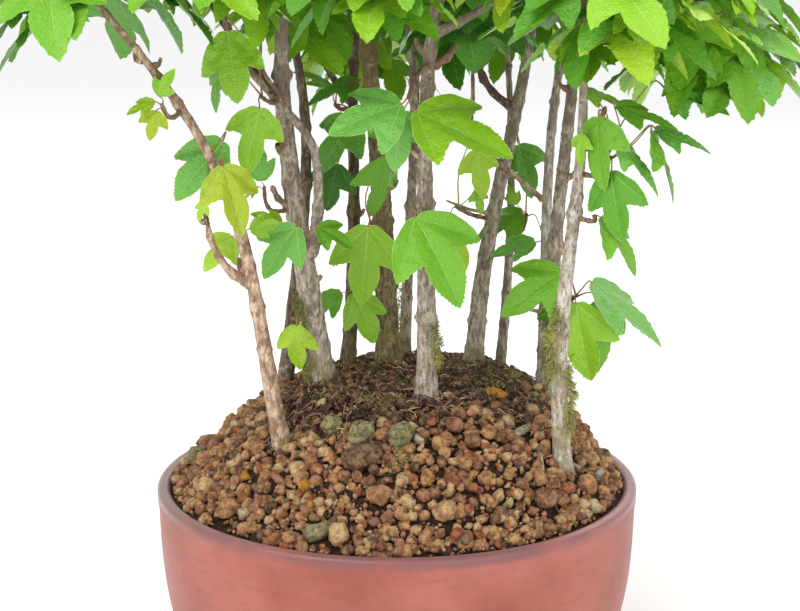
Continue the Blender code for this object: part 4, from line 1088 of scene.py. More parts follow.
def blade_form(outline, spans, grid, full):
    """The flat pattern of a blade: its points and triangles, its veins and its pale edge, a painted
    highlight.
    """
    reach, spread, waist, tooth = outline
    tips = ((1.0, 0.0), (reach, spread), (reach, -spread))
    half = blade_outline(reach, spread, waist, tooth, spans)
    edge = half + [Vector((p.x, -p.y, 0.0)) for p in reversed(half[1:-1])]
    points = [(p.x, p.y) for p in edge]
    seams = [(i, (i + 1) % len(points)) for i in range(len(points))]
    for x, y in tips:
        count = int((0.6 if y else 0.9) / grid)
        row = [0] + [len(points) + k for k in range(count - 1)]
        points += [(x * k / count, y * k / count) for k in range(1, count)]
        tip = min(range(len(edge)), key=lambda i: (edge[i].x - x) ** 2 + (edge[i].y - y) ** 2)
        row.append(tip)
        seams += list(zip(row[:-1], row[1:]))
    flat = np.array(points)
    shape = flat[:len(edge)]
    toward = np.roll(shape, -1, 0)
    x = grid * 0.7
    while x < 0.97:
        y = -0.5
        while y < 0.5:
            spot = np.array((x + 0.25 * grid * math.sin(y * 40), y))
            crossing = (shape[:, 1] > spot[1]) != (toward[:, 1] > spot[1])
            rise = np.where(crossing, toward[:, 1] - shape[:, 1], 1.0)
            at = shape[:, 0] + (spot[1] - shape[:, 1]) * (toward[:, 0] - shape[:, 0]) / rise
            inside = np.count_nonzero(crossing & (at > spot[0])) % 2
            if inside and np.hypot(*(flat - spot).T).min() > grid * 0.45:
                flat = np.vstack((flat, spot))
            y += grid
        x += grid * 0.9
    made = geometry.delaunay_2d_cdt([Vector(p) for p in flat], seams, [], 1, 1e-5)
    flat = np.array([tuple(p) for p in made[0]])
    return {"blade": (flat, np.array(made[2])), "veins": vein_strips(reach, spread, waist, full),
            "edge": rim_highlight_strip(edge), "reach": reach, "spread": spread}


def rim_highlight_strip(edge):
    """The pale rim of a blade, a painted highlight in a narrow band just inside its teeth: points and
    triangles.
    """
    points = []
    faces = []
    count = len(edge)
    for i, point in enumerate(edge):
        n = (i + 1) % count
        along = (edge[n] - edge[i - 1]).normalized()
        inner = point + Vector((along.y, -along.x, 0.0)) * RIM_HIGHLIGHT_WIDTH
        points += [(point.x, point.y), (inner.x, inner.y)]
        faces += [(2 * i, 2 * n, 2 * i + 1), (2 * n, 2 * n + 1, 2 * i + 1)]
    return np.array(points), np.array(faces)


def vein_strips(reach, spread, waist, full):
    """Three main veins and their side veins, as flat strips: points and triangles."""
    strips = []
    for x, y in ((1.0, 0.0), (reach, spread), (reach, -spread)):
        width = 0.0044 if y else 0.0052
        strips.append(((0.0, 0.0), (x * 0.97, y * 0.97), width, 10 if full else 4))
    for k in range(1 if full else 2, 7):
        share = k * PLEAT
        out = waist * (1.3 if share < 0.4 else 1.05 - share * 0.62)
        for hand in (-1, 1):
            end = (share + out * PLEAT_LEAN, out * hand)
            strips.append(((share, 0.0), end, 0.0019, 4 if full else 2))
    if full:
        for share in (0.3, 0.45, 0.6, 0.75):
            for hand in (-1, 1):
                base = (reach * share, spread * share * hand)
                strips.append((base, (base[0] + 0.15 - share * 0.1, base[1]), 0.0016, 3))
                strips.append((base, (base[0] + 0.02, base[1] + hand * (0.13 - share * 0.1)), 0.0016, 3))
    points = []
    faces = []
    for (x0, y0), (x1, y1), width, count in strips:
        length = math.hypot(x1 - x0, y1 - y0)
        for k in range(count + 1):
            t = k / count
            x = x0 + (x1 - x0) * t
            y = y0 + (y1 - y0) * t
            w = width * (1.0 - 0.75 * t) / length
            points += [(x - (y1 - y0) * w, y + (x1 - x0) * w), (x + (y1 - y0) * w, y - (x1 - x0) * w)]
            if k:
                n = len(points)
                faces += [(n - 4, n - 3, n - 2), (n - 3, n - 1, n - 2)]
    return np.array(points), np.array(faces)


def blade_relief(flat, form, bend_rule):
    """The height of a blade over its flat pattern: folded at its ribs, quilted, drooping, wavy."""
    fold, droop, side_droop, wave, phase, twist = bend_rule
    reach = form["reach"]
    spread = form["spread"]
    u, v = flat.T
    rib = math.hypot(reach, spread)
    off_rib = np.abs(np.abs(v) * reach - u * spread) / rib
    off_mid = np.abs(v)
    near = np.minimum(off_mid, off_rib)
    height = fold * near * 1.6 - droop * u ** 2 - side_droop * off_mid ** 1.6
    pillow = np.abs(np.sin((u - PLEAT_LEAN * off_mid) * math.pi / PLEAT))
    height += 0.014 * pillow * np.clip(near * 12, 0, 1) * np.clip((1 - u) * 4, 0, 1)
    height += wave * np.sin(u * 9 + v * 7 + phase) * (0.2 + off_mid * 2)
    height += 0.5 * wave * np.sin(u * 23 + off_mid * 19 + phase * 2) * np.clip(off_mid * 4 - 0.3, 0, 1)
    height += twist * v * u
    return height


def shaped_leaf(blade, form, bend_rule, part="blade", lift=0.0):
    """One part of a leaf in place, its blade, its veins or its edge: points and triangles."""
    _, base, direction, normal, length = blade
    flat, faces = form[part]
    height = blade_relief(flat, form, bend_rule) + lift / length
    up = across(direction, normal)
    side = up.cross(direction)
    frame_rows = np.array([tuple(direction), tuple(side), tuple(up)])
    local = np.column_stack((flat[:, 0], flat[:, 1], height)) * length
    return local @ frame_rows + np.array(tuple(base)), faces


def petiole_tube(blade, draw, low):
    """A leaf stalk: it leaves its twig, sags or arches, and meets the blade end on."""
    node, base, direction, _, length = blade
    span = (base - node).length
    sway = (draw.uniform(-0.16, 0.16), draw.uniform(-0.16, 0.16), draw.uniform(0.04, 0.26))
    arch = Vector(sway) * span
    into = base - direction * (span * 0.25)
    knees = [node, node.lerp(base, 0.35) + arch, into.lerp(base, 0.5) + arch * 0.3]
    path = rounded(knees + [base + direction * 0.8], 4 if low else 2)
    thin = PETIOLE_DIAMETER / 2 * (0.5 + 0.4 * length / LEAF_LENGTH)
    last = len(path) - 1
    radii = [thin * (1.3 - 0.55 * math.sin(math.pi * (i / last))) for i in range(last + 1)]
    radii[-1] = thin * 0.4
    return tube(path, radii, 5 if low else 3)


# Stems and boughs

def bud_knots(draw, length):
    """Pairs of bud scars up a stem: place, turn, height, width and height of the ring."""
    knots = []
    along = draw.uniform(8.0, 16.0)
    while along < length:
        turn = draw.uniform(0, 2 * math.pi)
        strong = draw.random() ** 2
        for opposite in (0.0, math.pi):
            place = along + draw.uniform(-0.8, 0.8)
            angle = turn + opposite + draw.uniform(-0.3, 0.3)
            width = draw.uniform(1.2, 2.0) + 1.6 * strong
            knots.append((place, angle, 0.08 + 0.30 * strong, width, 0.02 + 0.03 * strong))
        along += draw.uniform(8.0, 24.0)
    return knots


def bark_bump(a, run, radius, knots, rough, seed):
    """The relief of bark at an angle round the stem and a run along it."""
    def pattern(reach, rise):
        return noise.noise(Vector((math.cos(a) * reach, math.sin(a) * reach, rise)))

    coarse = pattern(1.8, run * 0.045 + seed)
    furrow = pattern(5.5, run * 0.13 + seed * 3)
    flake = pattern(8.0, run * 0.75 + seed * 7)
    bump = coarse * 0.07 + (0.5 - abs(furrow) * 2.2) * 0.075 * rough + flake * 0.10 * rough
    for at, azimuth, tall, wide, _ in knots:
        gap = abs(run - at)
        if gap < wide * 2.5:
            turn = abs((a - azimuth + math.pi) % (2 * math.pi) - math.pi) * radius
            swell = math.exp(-(gap / wide) ** 2 - (turn / (wide * 1.2)) ** 2)
            bump += tall * swell * (1.0 + 0.8 * flake)
    return bump * min(radius, 3.6)


def bark_skin(limb, sides, pitch, start_normal, lobes, rough, seed):
    """A limb's skin with the relief of its bark: furrows, leaf-scar rings and knots."""
    limb_axis = list(limb.axis)
    limb_radii = list(limb.radii)
    if not lobes:
        # A bough starts inside its carrier, a little lower, and swells where it leaves.
        limb_axis.insert(0, limb_axis[0] - start_normal * 3.4 - Vector((0, 0, 2.6)))
        limb_radii.insert(0, limb_radii[0] * 1.25)
        limb_radii[1] *= 1.12
    spans = 8
    axis = rounded(limb_axis, spans)
    radii = []
    for low, high in zip(limb_radii[:-1], limb_radii[1:]):
        radii += [low * (1 - k / spans) + high * (k / spans) for k in range(spans)]
    radii.append(limb_radii[-1])
    lengths = [0.0]
    for a, b in zip(axis[:-1], axis[1:]):
        lengths.append(lengths[-1] + (b - a).length)
    knots = bud_knots(random.Random(seed), lengths[-1])
    points = []
    side = across(start_normal, Vector((1.0, 0.13, 0.21)))
    rows = int(lengths[-1] / pitch)
    i = 0
    for row in range(rows + 1):
        run = lengths[-1] * row / rows
        while i < len(axis) - 2 and lengths[i + 1] < run:
            i += 1
        f = (run - lengths[i]) / max(lengths[i + 1] - lengths[i], 1e-6)
        middle = axis[i].lerp(axis[i + 1], f)
        radius = radii[i] * (1 - f) + radii[i + 1] * f
        direction = (axis[i + 1] - axis[max(i - 1, 0)]).normalized() if row else start_normal
        side = across(direction, side)
        other = direction.cross(side)
        flare = math.exp(-(middle - axis[0]).length / ROOT_FLARE_HEIGHT)
        rings = sum(math.exp(-((run - knot[0]) / 0.8) ** 2) * knot[4] for knot in knots)
        for k in range(sides):
            a = 2 * math.pi * k / sides
            ray = side * math.cos(a) + other * math.sin(a)
            lobe = 1 + lobes * math.cos(ROOT_LOBES * a + limb.axis[0].x) * flare
            bump = bark_bump(a, run, radius, knots, rough, seed)
            points.append(middle + ray * (radius * BARK_SLIM * (lobe + rings) + bump))
    first = len(points)
    points += [axis[0], axis[-1]]
    faces = ring_quads(rows + 1, sides) + end_fans(rows * sides, sides, first, first + 1)
    return as_rows(points), np.array(faces)


def make_spurs(limbs, finish):
    """Old cut stubs, bud-ringed spurs and thin side shoots that stand out from the stems."""
    draw = random.Random(SEED + 600)
    parts = []
    for name, share, azimuth, rise, turn_to, length, thick, thin in SPURS:
        point, direction, radius = limbs[name].at(share)
        way = heading(azimuth, rise)
        start = point + across(direction, way) * (radius * 0.7)
        middle = start + way * (length * 0.5)
        tip = middle + heading(*turn_to) * (length * 0.5)
        knees = [start, start.lerp(middle, 0.5), middle, middle.lerp(tip, 0.5), tip]
        path = rounded(knees, max(4, int(length / 1.6)) // 4)
        last = len(path) - 1
        radii = []
        for i in range(last + 1):
            ring = 0.34 * (i % 3 == 1) if length < 24.0 else 0.22 * (i % 6 == 1)
            girth = 1.0 + ring + draw.uniform(-0.07, 0.07)
            radii.append((thick + (thin - thick) * i / last) / 2 * girth)
        radii[0] *= 1.3
        radii[-1] *= 0.55
        parts.append(tube(path, radii, 8))
    mesh_piece("spurs_and_side_shoots", split_quads(parts), finish)


def make_bark(name, pale, dark, blotch, moss, speck):
    """Living maple bark, thin and finely furrowed: striped lengthwise, mottled and flecked."""
    finish, tree, shader, place = new_finish(name, Roughness=0.84, Specular_IOR_Level=0.3)
    long = put(tree, "Mapping", {"Vector": place, "Scale": (1.0, 1.0, 0.34)})
    height = put(tree, "SeparateXYZ", {"Vector": place}, 2)
    # Blotches gather higher up the stems, and green stain near the soil.
    higher_up = put(tree, "MapRange", {"Value": height, 1: 0.20, 2: 0.34, 3: -0.02, 4: 0.13})
    damp = put(tree, "MapRange", {"Value": height, 1: 0.14, 2: 0.24, 3: 0.12, 4: -0.14})
    tone = mottled(tree, long, dark, pale, 2.2, (0.40, 0.60), Detail=7.0, Roughness=0.7)
    tone = mottled(tree, place, tone, blotch, 11.0, (0.50, 0.62), 0.8, higher_up,
                   Detail=5.0, Roughness=0.65)
    # Dark cracks, a pale crust of lichen, and the green stain.
    tone = mottled(tree, long, tone, "#41352C", 1.2, (0.45, 0.36), speck, Detail=4.0, Roughness=0.6)
    tone = mottled(tree, place, tone, "#D3CBBB", 5.0, (0.60, 0.66), 0.55, Detail=6.0, Roughness=0.7)
    tone = mottled(tree, place, tone, "#8A8448", 22.0, (0.58, 0.70), moss, damp,
                   Detail=6.0, Roughness=0.65)
    fine = put(tree, "TexNoise", {
        "Vector": long, "Scale": per_mm(1.2), "Detail": 6.0, "Roughness": 0.75})
    coarse = put(tree, "TexNoise", {
        "Vector": place, "Scale": per_mm(5.0), "Detail": 6.0, "Roughness": 0.7})
    both = put(tree, "Math", {0: fine, 1: coarse}, operation="ADD")
    relief = put(tree, "Bump", {"Height": both, "Strength": 0.9, "Distance": 0.7 * MM})
    dress(tree, shader, Base_Color=tone, Normal=relief)
    return finish


# Pot

def clay_profile():
    """The pot's section, with its rolled lip and foot ring rounded by many small steps."""
    wall_foot = POT_HEIGHT - FOOT_HEIGHT - POT_SHOULDER
    lip = POT_RADIUS + POT_LIP_PROUD
    floor = FOOT_HEIGHT + POT_FLOOR
    profile = [(0.0, floor), (FLOOR_RING, floor)]
    for k in range(12):
        d = wall_foot * (1 - k / 12)
        profile.append((wall_radius(d) - POT_WALL, POT_HEIGHT - d))
    roll = (lip - SOIL_RADIUS) / 2
    for k in range(13):
        a = math.pi * (1 - k / 12)
        height = POT_HEIGHT - LIP_ROLL + LIP_ROLL * math.sin(a)
        profile.append((SOIL_RADIUS + roll + roll * math.cos(a), height))
    for k in range(10):
        t = k / 9
        d = LIP_BLEND[0] + LIP_BLEND[1] * t
        proud = (lip - POT_RADIUS) * (1 - t * t * (3 - 2 * t))
        profile.append((wall_radius(d) + proud, POT_HEIGHT - d))
    for k in range(1, 30):
        d = sum(LIP_BLEND) + (wall_foot - sum(LIP_BLEND)) * k / 29
        profile.append((wall_radius(d), POT_HEIGHT - d))
    corner = wall_radius(wall_foot)
    for k in range(1, 8):
        a = math.pi / 2 * k / 8
        height = FOOT_HEIGHT + POT_SHOULDER * (1 - math.sin(a))
        profile.append((corner - POT_CORNER * (1 - math.cos(a)), height))
    ring = ((3.0, FOOT_HEIGHT), (1.0, FOOT_HEIGHT - 1.0), (0.2, 4.0), (0.0, 0.8), (-0.8, 0.0))
    profile += [(FOOT_RADIUS + out, height) for out, height in ring]
    return profile + [(FLOOR_RING, 0.0), (DRAIN_OFFSET + 20.0, 0.0), (0.0, 0.0)]


def make_clay_pot():
    """The bowl, turned a little unevenly on the wheel, with its two drainage holes."""
    finish = make_clay()
    profile = clay_profile()
    points = [(0.0, 0.0, profile[0][1])]
    for radius, height in profile[1:-1]:
        for k in range(POT_TURN):
            a = 2 * math.pi * k / POT_TURN
            x = math.cos(a)
            y = math.sin(a)
            wobble = 0.25 * noise.noise(Vector((x * 1.4, y * 1.4, height * 0.03)))
            ridge = 0.10 * noise.noise(Vector((0.3 * x, 0.3 * y, height * 0.45)))
            swell = (wobble + ridge) if height > 3.0 and radius > FOOT_RADIUS else 0.0
            points.append(((radius + swell) * x, (radius + swell) * y, height))
    points.append((0.0, 0.0, profile[-1][1]))
    rings = len(profile) - 2
    last = len(points) - 1
    pot = bmesh.new()
    corners = [pot.verts.new(Vector(p) * MM) for p in points]
    faces = []
    for k in range(POT_TURN):
        n = (k + 1) % POT_TURN
        faces.append((0, 1 + k, 1 + n))
        for r in range(rings - 1):
            low = 1 + r * POT_TURN
            faces.append((low + k, low + POT_TURN + k, low + POT_TURN + n, low + n))
        low = 1 + (rings - 1) * POT_TURN
        faces.append((low + k, last, low + n))
    for face in faces:
        pot.faces.new([corners[i] for i in face])
    mesh = bpy.data.meshes.new("clay_pot")
    pot.to_mesh(mesh)
    pot.free()
    bowl = bpy.data.objects.new("clay_pot", mesh)
    bpy.context.scene.collection.objects.link(bowl)
    drills = bpy.data.collections.new("drills")
    for side in (-1, 1):
        middle = (side * DRAIN_OFFSET * MM, 0, 0)
        bpy.ops.mesh.primitive_cylinder_add(
            vertices=40, radius=DRAIN_RADIUS * MM, depth=0.06, location=middle)
        drills.objects.link(bpy.context.object)
    holes = bowl.modifiers.new("holes", "BOOLEAN")
    holes.operation = "DIFFERENCE"
    holes.operand_type = "COLLECTION"
    holes.collection = drills
    holes.solver = "EXACT"
    depsgraph = bpy.context.evaluated_depsgraph_get()
    bowl.data = bpy.data.meshes.new_from_object(bowl.evaluated_get(depsgraph))
    bowl.modifiers.clear()
    for drill in list(drills.objects):
        bpy.data.objects.remove(drill)
    bpy.data.collections.remove(drills)
    bowl.data.materials.clear()
    bowl.data.materials.append(finish)
    bowl.data.shade_smooth()
    bowl.data.set_sharp_from_angle(angle=math.radians(45))
    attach(bowl, "root")
    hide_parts("pot")


def make_clay():
    """Unglazed red earthenware, turned and fired hard: matt and gritty, burnished at its lip."""
    finish, tree, shader, place = new_finish(
        "red_earthenware", Specular_IOR_Level=0.38, Sheen_Weight=0.15, Sheen_Roughness=0.4)
    wipe = put(tree, "Mapping", {"Vector": place, "Scale": (1.0, 1.0, 5.0)})
    body = mottled(tree, place, "#904A3C", "#A86052", 48.0, (0.36, 0.64), Detail=5.0)
    body = mottled(tree, wipe, body, "#7C4E4E", 22.0, (0.50, 0.70), 0.35,
                   Detail=6.0, Roughness=0.6)
    # Dark specks of grit, here and there.
    grit = put(tree, "TexVoronoi", {"Vector": place, "Scale": per_mm(1.7)})
    dots = put(tree, "MapRange", {"Value": grit, 1: 0.10, 2: 0.20, 3: 0.6, 4: 0.0})
    rare = put(tree, "TexNoise", {"Vector": place, "Scale": per_mm(5.0)})
    some = put(tree, "MapRange", {"Value": rare, 1: 0.42, 2: 0.56})
    seen = put(tree, "Math", {0: dots, 1: some}, operation="MULTIPLY")
    body = put(tree, "Mix", {0: seen, 6: body, 7: "#4E2B26"}, 2, data_type="RGBA")
    # The lip was rubbed smooth and is worn in places, with a green-brown film at its left.
    x, y, z = put(tree, "SeparateXYZ", {"Vector": place}).node.outputs
    lip = put(tree, "MapRange", {"Value": z, 1: 88.5 * MM, 2: 92.0 * MM},
              interpolation_type="SMOOTHSTEP")
    rub = put(tree, "TexNoise", {"Vector": place, "Scale": per_mm(26.0), "Detail": 6.0})
    worn = put(tree, "MapRange", {"Value": rub, 1: 0.34, 2: 0.58, 3: 0.35})
    rubbed = put(tree, "Math", {0: lip, 1: worn}, operation="MULTIPLY")
    body = put(tree, "Mix", {0: rubbed, 6: body, 7: "#7C4F4F"}, 2, data_type="RGBA")
    left = put(tree, "MapRange", {"Value": x, 1: -30.0 * MM, 2: -100.0 * MM})
    behind = put(tree, "MapRange", {"Value": y, 1: -90.0 * MM, 2: -40.0 * MM, 4: 0.45})
    shaded = put(tree, "Math", {0: left, 1: behind}, operation="MULTIPLY")
    film = put(tree, "Math", {0: shaded, 1: rubbed}, operation="MULTIPLY")
    body = put(tree, "Mix", {0: film, 6: body, 7: "#6A5F4A"}, 2, data_type="RGBA")
    dull = put(tree, "MapRange", {"Value": lip, 3: 0.58, 4: 0.27})
    # Fine grit and the turning lines.
    grain = put(tree, "TexNoise", {
        "Vector": place, "Scale": per_mm(1.1), "Detail": 4.0, "Roughness": 0.7})
    lines = put(tree, "TexNoise", {"Vector": wipe, "Scale": per_mm(5.0), "Detail": 2.0})
    both = put(tree, "Math", {0: grain, 1: lines}, operation="ADD")
    relief = put(tree, "Bump", {"Height": both, "Strength": 0.4, "Distance": 0.4 * MM})
    dress(tree, shader, Base_Color=body, Roughness=dull, Normal=relief)
    return finish


# Soil

def make_compost():
    """Damp compost of rotted bark, clay crumbs and roots: matt, dark, crumbly, near black in its darkest
    tone as painted shade for the gaps between the grains.
    """
    finish, tree, shader, place = new_finish("root_compost_and_gap_shade", Roughness=0.95, Specular_IOR_Level=0.2)
    crumbs = put(tree, "TexNoise", {
        "Vector": place, "Scale": per_mm(1.8), "Detail": 6.0, "Roughness": 0.75})
    light = put(tree, "MapRange", {"Value": crumbs, 1: 0.38, 2: 0.66})
    # Near black to dark brown: the near-black end is partly painted shade where the compost shows between
    # grains.
    body = put(tree, "Mix", {0: light, 6: "#1F1412", 7: "#543A2C"}, 2, data_type="RGBA")
    fleck = put(tree, "TexVoronoi", {"Vector": place, "Scale": per_mm(2.52)})
    few = put(tree, "MapRange", {"Value": fleck, 1: 0.08, 2: 0.20, 3: 0.7, 4: 0.0})
    body = put(tree, "Mix", {0: few, 6: body, 7: "#A8845F"}, 2, data_type="RGBA")
    relief = put(tree, "Bump", {"Height": crumbs, "Strength": 1.0, "Distance": 1.6 * MM})
    dress(tree, shader, Base_Color=body, Normal=relief)
    return finish


def make_root_mound():
    """The soil's body: a crumbly surface over the whole mound, closed below inside the pot."""
    floor = FOOT_HEIGHT + POT_FLOOR + TOUCH_GAP
    wall_foot = POT_HEIGHT - FOOT_HEIGHT - POT_SHOULDER
    top = SOIL_RADIUS - TOUCH_GAP
    rings = [(wall_radius(wall_foot) - POT_WALL - 6.5, floor)]
    for share in (1.0, 0.75, 0.5, 0.25):
        radius = wall_radius(wall_foot * share) - POT_WALL - 0.7
        rings.append((radius, POT_HEIGHT - wall_foot * share))
    rings += [(top * (1.0 - (r / MOUND_RINGS) ** 1.1), None) for r in range(MOUND_RINGS)]
    points = []
    for radius, level in rings:
        for k in range(MOUND_TURN):
            a = 2 * math.pi * k / MOUND_TURN
            x = radius * math.cos(a)
            y = radius * math.sin(a)
            height = level
            if level is None:
                rough = noise.fractal(Vector((x * 0.09, y * 0.09, 3.0)), 0.7, 2.1, 4) * 1.5
                height = mound(x, y) - MOUND_LOW + rough * min(1.0, (top - radius) / 8 + 0.2)
            points.append((x, y, height))
    last = (len(rings) - 1) * MOUND_TURN
    foot = len(points)
    points += [(0.0, 0.0, floor), (0.0, 0.0, mound(0, 0) - MOUND_LOW)]
    faces = ring_quads(len(rings), MOUND_TURN) + end_fans(last, MOUND_TURN, foot, foot + 1)
    mesh_piece("root_mound", [(points, faces)], make_compost(), ("soil",))


def lump_shapes(draw, count, fineness, knobs):
    """Knobbly lumps with chipped flats, of unit radius, for grains and clods."""
    lumps = []
    for i in range(count):
        lump = bmesh.new()
        bmesh.ops.create_icosphere(lump, subdivisions=fineness, radius=1.0)
        cuts = []
        for c in range(6):
            cut = Vector(draw.gauss(0, 1) for k in range(3)).normalized()
            cuts.append((cut, draw.uniform(0.62, 0.92)))
        offset = Vector(draw.uniform(-50, 50) for k in range(3))
        for vert in lump.verts:
            way = vert.co.normalized()
            grown = 1.0 + 0.24 * noise.noise(way * 1.3 + offset)
            grown += 0.6 * knobs * noise.noise(way * 6.0 + offset)
            vert.co = way * (grown + knobs * (0.55 - 1.9 * abs(noise.noise(way * 2.8 + offset))))
            for cut, depth in cuts:
                over = vert.co.dot(cut) - depth
                if over > 0:
                    vert.co -= cut * over * 0.8
        lump.verts.ensure_lookup_table()
        points = as_rows([v.co for v in lump.verts])
        lumps.append((points, np.array([[v.index for v in f.verts] for f in lump.faces])))
        lump.free()
    return lumps


def grain_cover(x, y):
    """How far a place is inside the skirt of loose grains: above 0 it is covered."""
    share, way = mound_share(x, y)
    ragged = noise.noise(Vector((x * 0.03, y * 0.03, 1.7))) * 0.16
    ragged += noise.noise(Vector((x * 0.09, y * 0.09, 8.0))) * 0.06
    return share - SKIRT_EDGE + ragged + 0.05 * way.x


def laid_rows(x, y, azimuth):
    """Axes along, across and out of the soil's surface at a place, as an array."""
    fall_x = mound(x - 1.5, y) - mound(x + 1.5, y)
    fall_y = mound(x, y - 1.5) - mound(x, y + 1.5)
    out = Vector((fall_x, fall_y, 3.0)).normalized()
    along = across(out, heading(azimuth, 0))
    return as_rows([along, out.cross(along), out])


def turned_rows(draw):
    """A random rotation as an array."""
    angle = draw.uniform(0, 2 * math.pi)
    axis = Vector(draw.gauss(0, 1) for k in range(3)).normalized()
    return as_rows(Matrix.Rotation(angle, 3, axis))


def grain_spots(draw, reach):
    """Where the grains lie: a bed on a loose grid, then the layers that are strewn over it."""
    spots = []
    rows = int(2 * reach / (GRAIN_PITCH * 0.87)) + 2
    for j in range(rows):
        for i in range(rows):
            x = -reach + (i + 0.5 * (j % 2)) * GRAIN_PITCH + draw.uniform(-1, 1) * GRAIN_PITCH * 0.3
            y = -reach + j * GRAIN_PITCH * 0.87 + draw.uniform(-1, 1) * GRAIN_PITCH * 0.3
            size = GRAIN_SIZE[0] + (GRAIN_SIZE[1] - GRAIN_SIZE[0]) * draw.random() ** 1.5
            spots.append((x, y, size / 2, "bed"))
    for layer, count, sizes in GRAIN_LAYERS:
        for i in range(count):
            a = draw.uniform(0, 2 * math.pi)
            r = reach * math.sqrt(draw.random())
            spots.append((r * math.cos(a), r * math.sin(a), draw.uniform(*sizes), layer))
    return spots


def make_grains(feet):
    """The skirt of akadama and lava grains, packed loosely, and the crumbly clods of the crest."""
    draw = random.Random(SEED + 500)
    large = lump_shapes(draw, 8, 3, 0.22)
    common = lump_shapes(draw, 26, 2, 0.24)
    crumbs = lump_shapes(draw, 10, 1, 0.16)
    heaps = {tint: [] for tint in GRAIN_TINTS}
    shares = [row[2] for row in GRAIN_TINTS.values()]
    reach = SOIL_RADIUS - 0.6
    taken = [(x, y, radius * 1.1) for x, y, radius in feet]
    for x, y, azimuth, long, wide, tall, tint in STONES:
        points, faces = draw.choice(common if long < 10 else large)
        placed = (points * (long / 2, wide / 2, tall / 2)) @ laid_rows(x, y, azimuth)
        heaps[tint].append((placed + np.array((x, y, mound(x, y) + tall * 0.28)), faces))
        taken.append((x, y, (long + wide) / 4 * 0.8))
    for x, y, size, layer in grain_spots(draw, reach):
        if math.hypot(x, y) + size * 0.75 > reach:
            continue
        if any(math.hypot(x - fx, y - fy) < radius + size * 0.7 for fx, fy, radius in taken):
            continue
        cover = grain_cover(x, y)
        tint = draw.choices(list(heaps), shares)[0]
        sunk = draw.uniform(-0.30, 0.35) * size
        if layer in ("bed", "proud") and cover < draw.uniform(-0.06, 0.05):
            continue
        if (layer == "nugget" and cover < 0.0) or (layer == "clod" and cover > 0.03):
            continue
        proud = size * 1.15 if layer == "proud" else 0.0
        level = mound(x, y) + GRAIN_LIFTS[layer] + proud + sunk
        if layer == "clod" or (cover < 0.04 and layer == "crumb"):
            tint = draw.choices(list(COMPOST_TINTS), list(COMPOST_TINTS.values()))[0]
        points, faces = draw.choice(crumbs if size < 1.6 else common)
        stretch = (draw.uniform(0.85, 1.2), draw.uniform(0.85, 1.15), draw.uniform(0.75, 1.0))
        placed = (points * stretch * size) @ turned_rows(draw) + np.array((x, y, level))
        heaps[tint].append((placed, faces))
    for tint, (pale, dark, share) in GRAIN_TINTS.items():
        mesh_piece(f"grains_{tint}", heaps[tint], make_grit(tint, pale, dark), ("soil",))


def make_grit(tint, pale, dark):
    """Baked clay and lava grit: dull and porous, mottled between a pale and a dark tone."""
    finish, tree, shader, place = new_finish(f"{tint}_grit", Roughness=0.92, Specular_IOR_Level=0.25)
    body = mottled(tree, place, dark, pale, 3.4, (0.40, 0.58), Detail=6.0, Roughness=0.72)
    pores = put(tree, "TexNoise", {
        "Vector": place, "Scale": per_mm(1.3), "Detail": 6.0, "Roughness": 0.8})
    relief = put(tree, "Bump", {"Height": pores, "Strength": 1.0, "Distance": 2.2 * MM})
    dress(tree, shader, Base_Color=body, Normal=relief)
    return finish


def make_root_fibre(name, dark, pale):
    """Fine feeding roots: dry, tan to dark brown, slightly glossy."""
    finish, tree, shader, place = new_finish(name, Roughness=0.75)
    tone = mottled(tree, place, dark, pale, 6.0, (0.42, 0.6), Detail=3.0)
    dress(tree, shader, Base_Color=tone)
    return finish


def laid_root(x, y, azimuth, length, thick, draw):
    """A root that leaves x, y and follows the soil's surface, in and out of the crumbs."""
    old = thick > 1.2
    lifts = (-0.7, 1.3) if old else (-0.4, 2.6)
    path = []
    turn = math.radians(azimuth)
    steps = max(4, int(length / 3.2))
    for i in range(steps + 1):
        path.append(Vector((x, y, mound(x, y) + thick * 0.3 + draw.uniform(*lifts))))
        turn += draw.uniform(-0.5, 0.5)
        x += math.cos(turn) * length / steps
        y += math.sin(turn) * length / steps
        over = max(1.0, math.hypot(x, y) / (SOIL_RADIUS - 3.0))
        x /= over
        y /= over
    fine = rounded(path, 2 if old else 1)
    last = len(fine) - 1
    radii = [thick / 2 * (1 - 0.8 * i / last) for i in range(last + 1)]
    return tube(fine, radii, 6 if old else 3)


def make_surface_roots(feet):
    """A few long roots that show on the soil, and a net of fine rootlets over the crest."""
    draw = random.Random(SEED + 700)
    roots = {name: [] for name in ROOT_TONES}
    thick = roots["surface_roots"]
    for x, y, azimuth, length, size in LONG_ROOTS:
        thick.append(laid_root(x, y, azimuth, length, size, draw))
    for x, y, radius in feet:
        for k in range(2):
            azimuth = draw.uniform(0, 360)
            start = Vector((x, y, 0.0)) + heading(azimuth, 0) * (radius * 0.7)
            length = draw.uniform(8, 18)
            size = radius * draw.uniform(0.2, 0.36)
            thick.append(laid_root(start.x, start.y, azimuth, length, size, draw))
    for i in range(ROOTLETS):
        a = draw.uniform(0, 2 * math.pi)
        r = ROOTLET_AREA[2] * math.sqrt(draw.random())
        x = ROOTLET_AREA[0] + r * math.cos(a)
        y = ROOTLET_AREA[1] + r * math.sin(a)
        if math.hypot(x, y) > SOIL_EDGE or grain_cover(x, y) > 0.06:
            continue
        kind = "rootlets_tan" if draw.random() < 0.35 else "rootlets_dark"
        azimuth = draw.uniform(0, 360)
        length = draw.uniform(3, 13)
        roots[kind].append(laid_root(x, y, azimuth, length, draw.uniform(0.3, 0.75), draw))
    for name, tones in ROOT_TONES.items():
        mesh_piece(name, split_quads(roots[name]), make_root_fibre(*tones), ("soil",))


def split_quads(parts):
    """Quads as pairs of triangles, so that parts with different sides can be joined."""
    made = []
    for points, faces in parts:
        if faces.shape[1] == 4:
            faces = np.vstack((faces[:, (0, 1, 2)], faces[:, (0, 2, 3)]))
        made.append((points, faces))
    return made


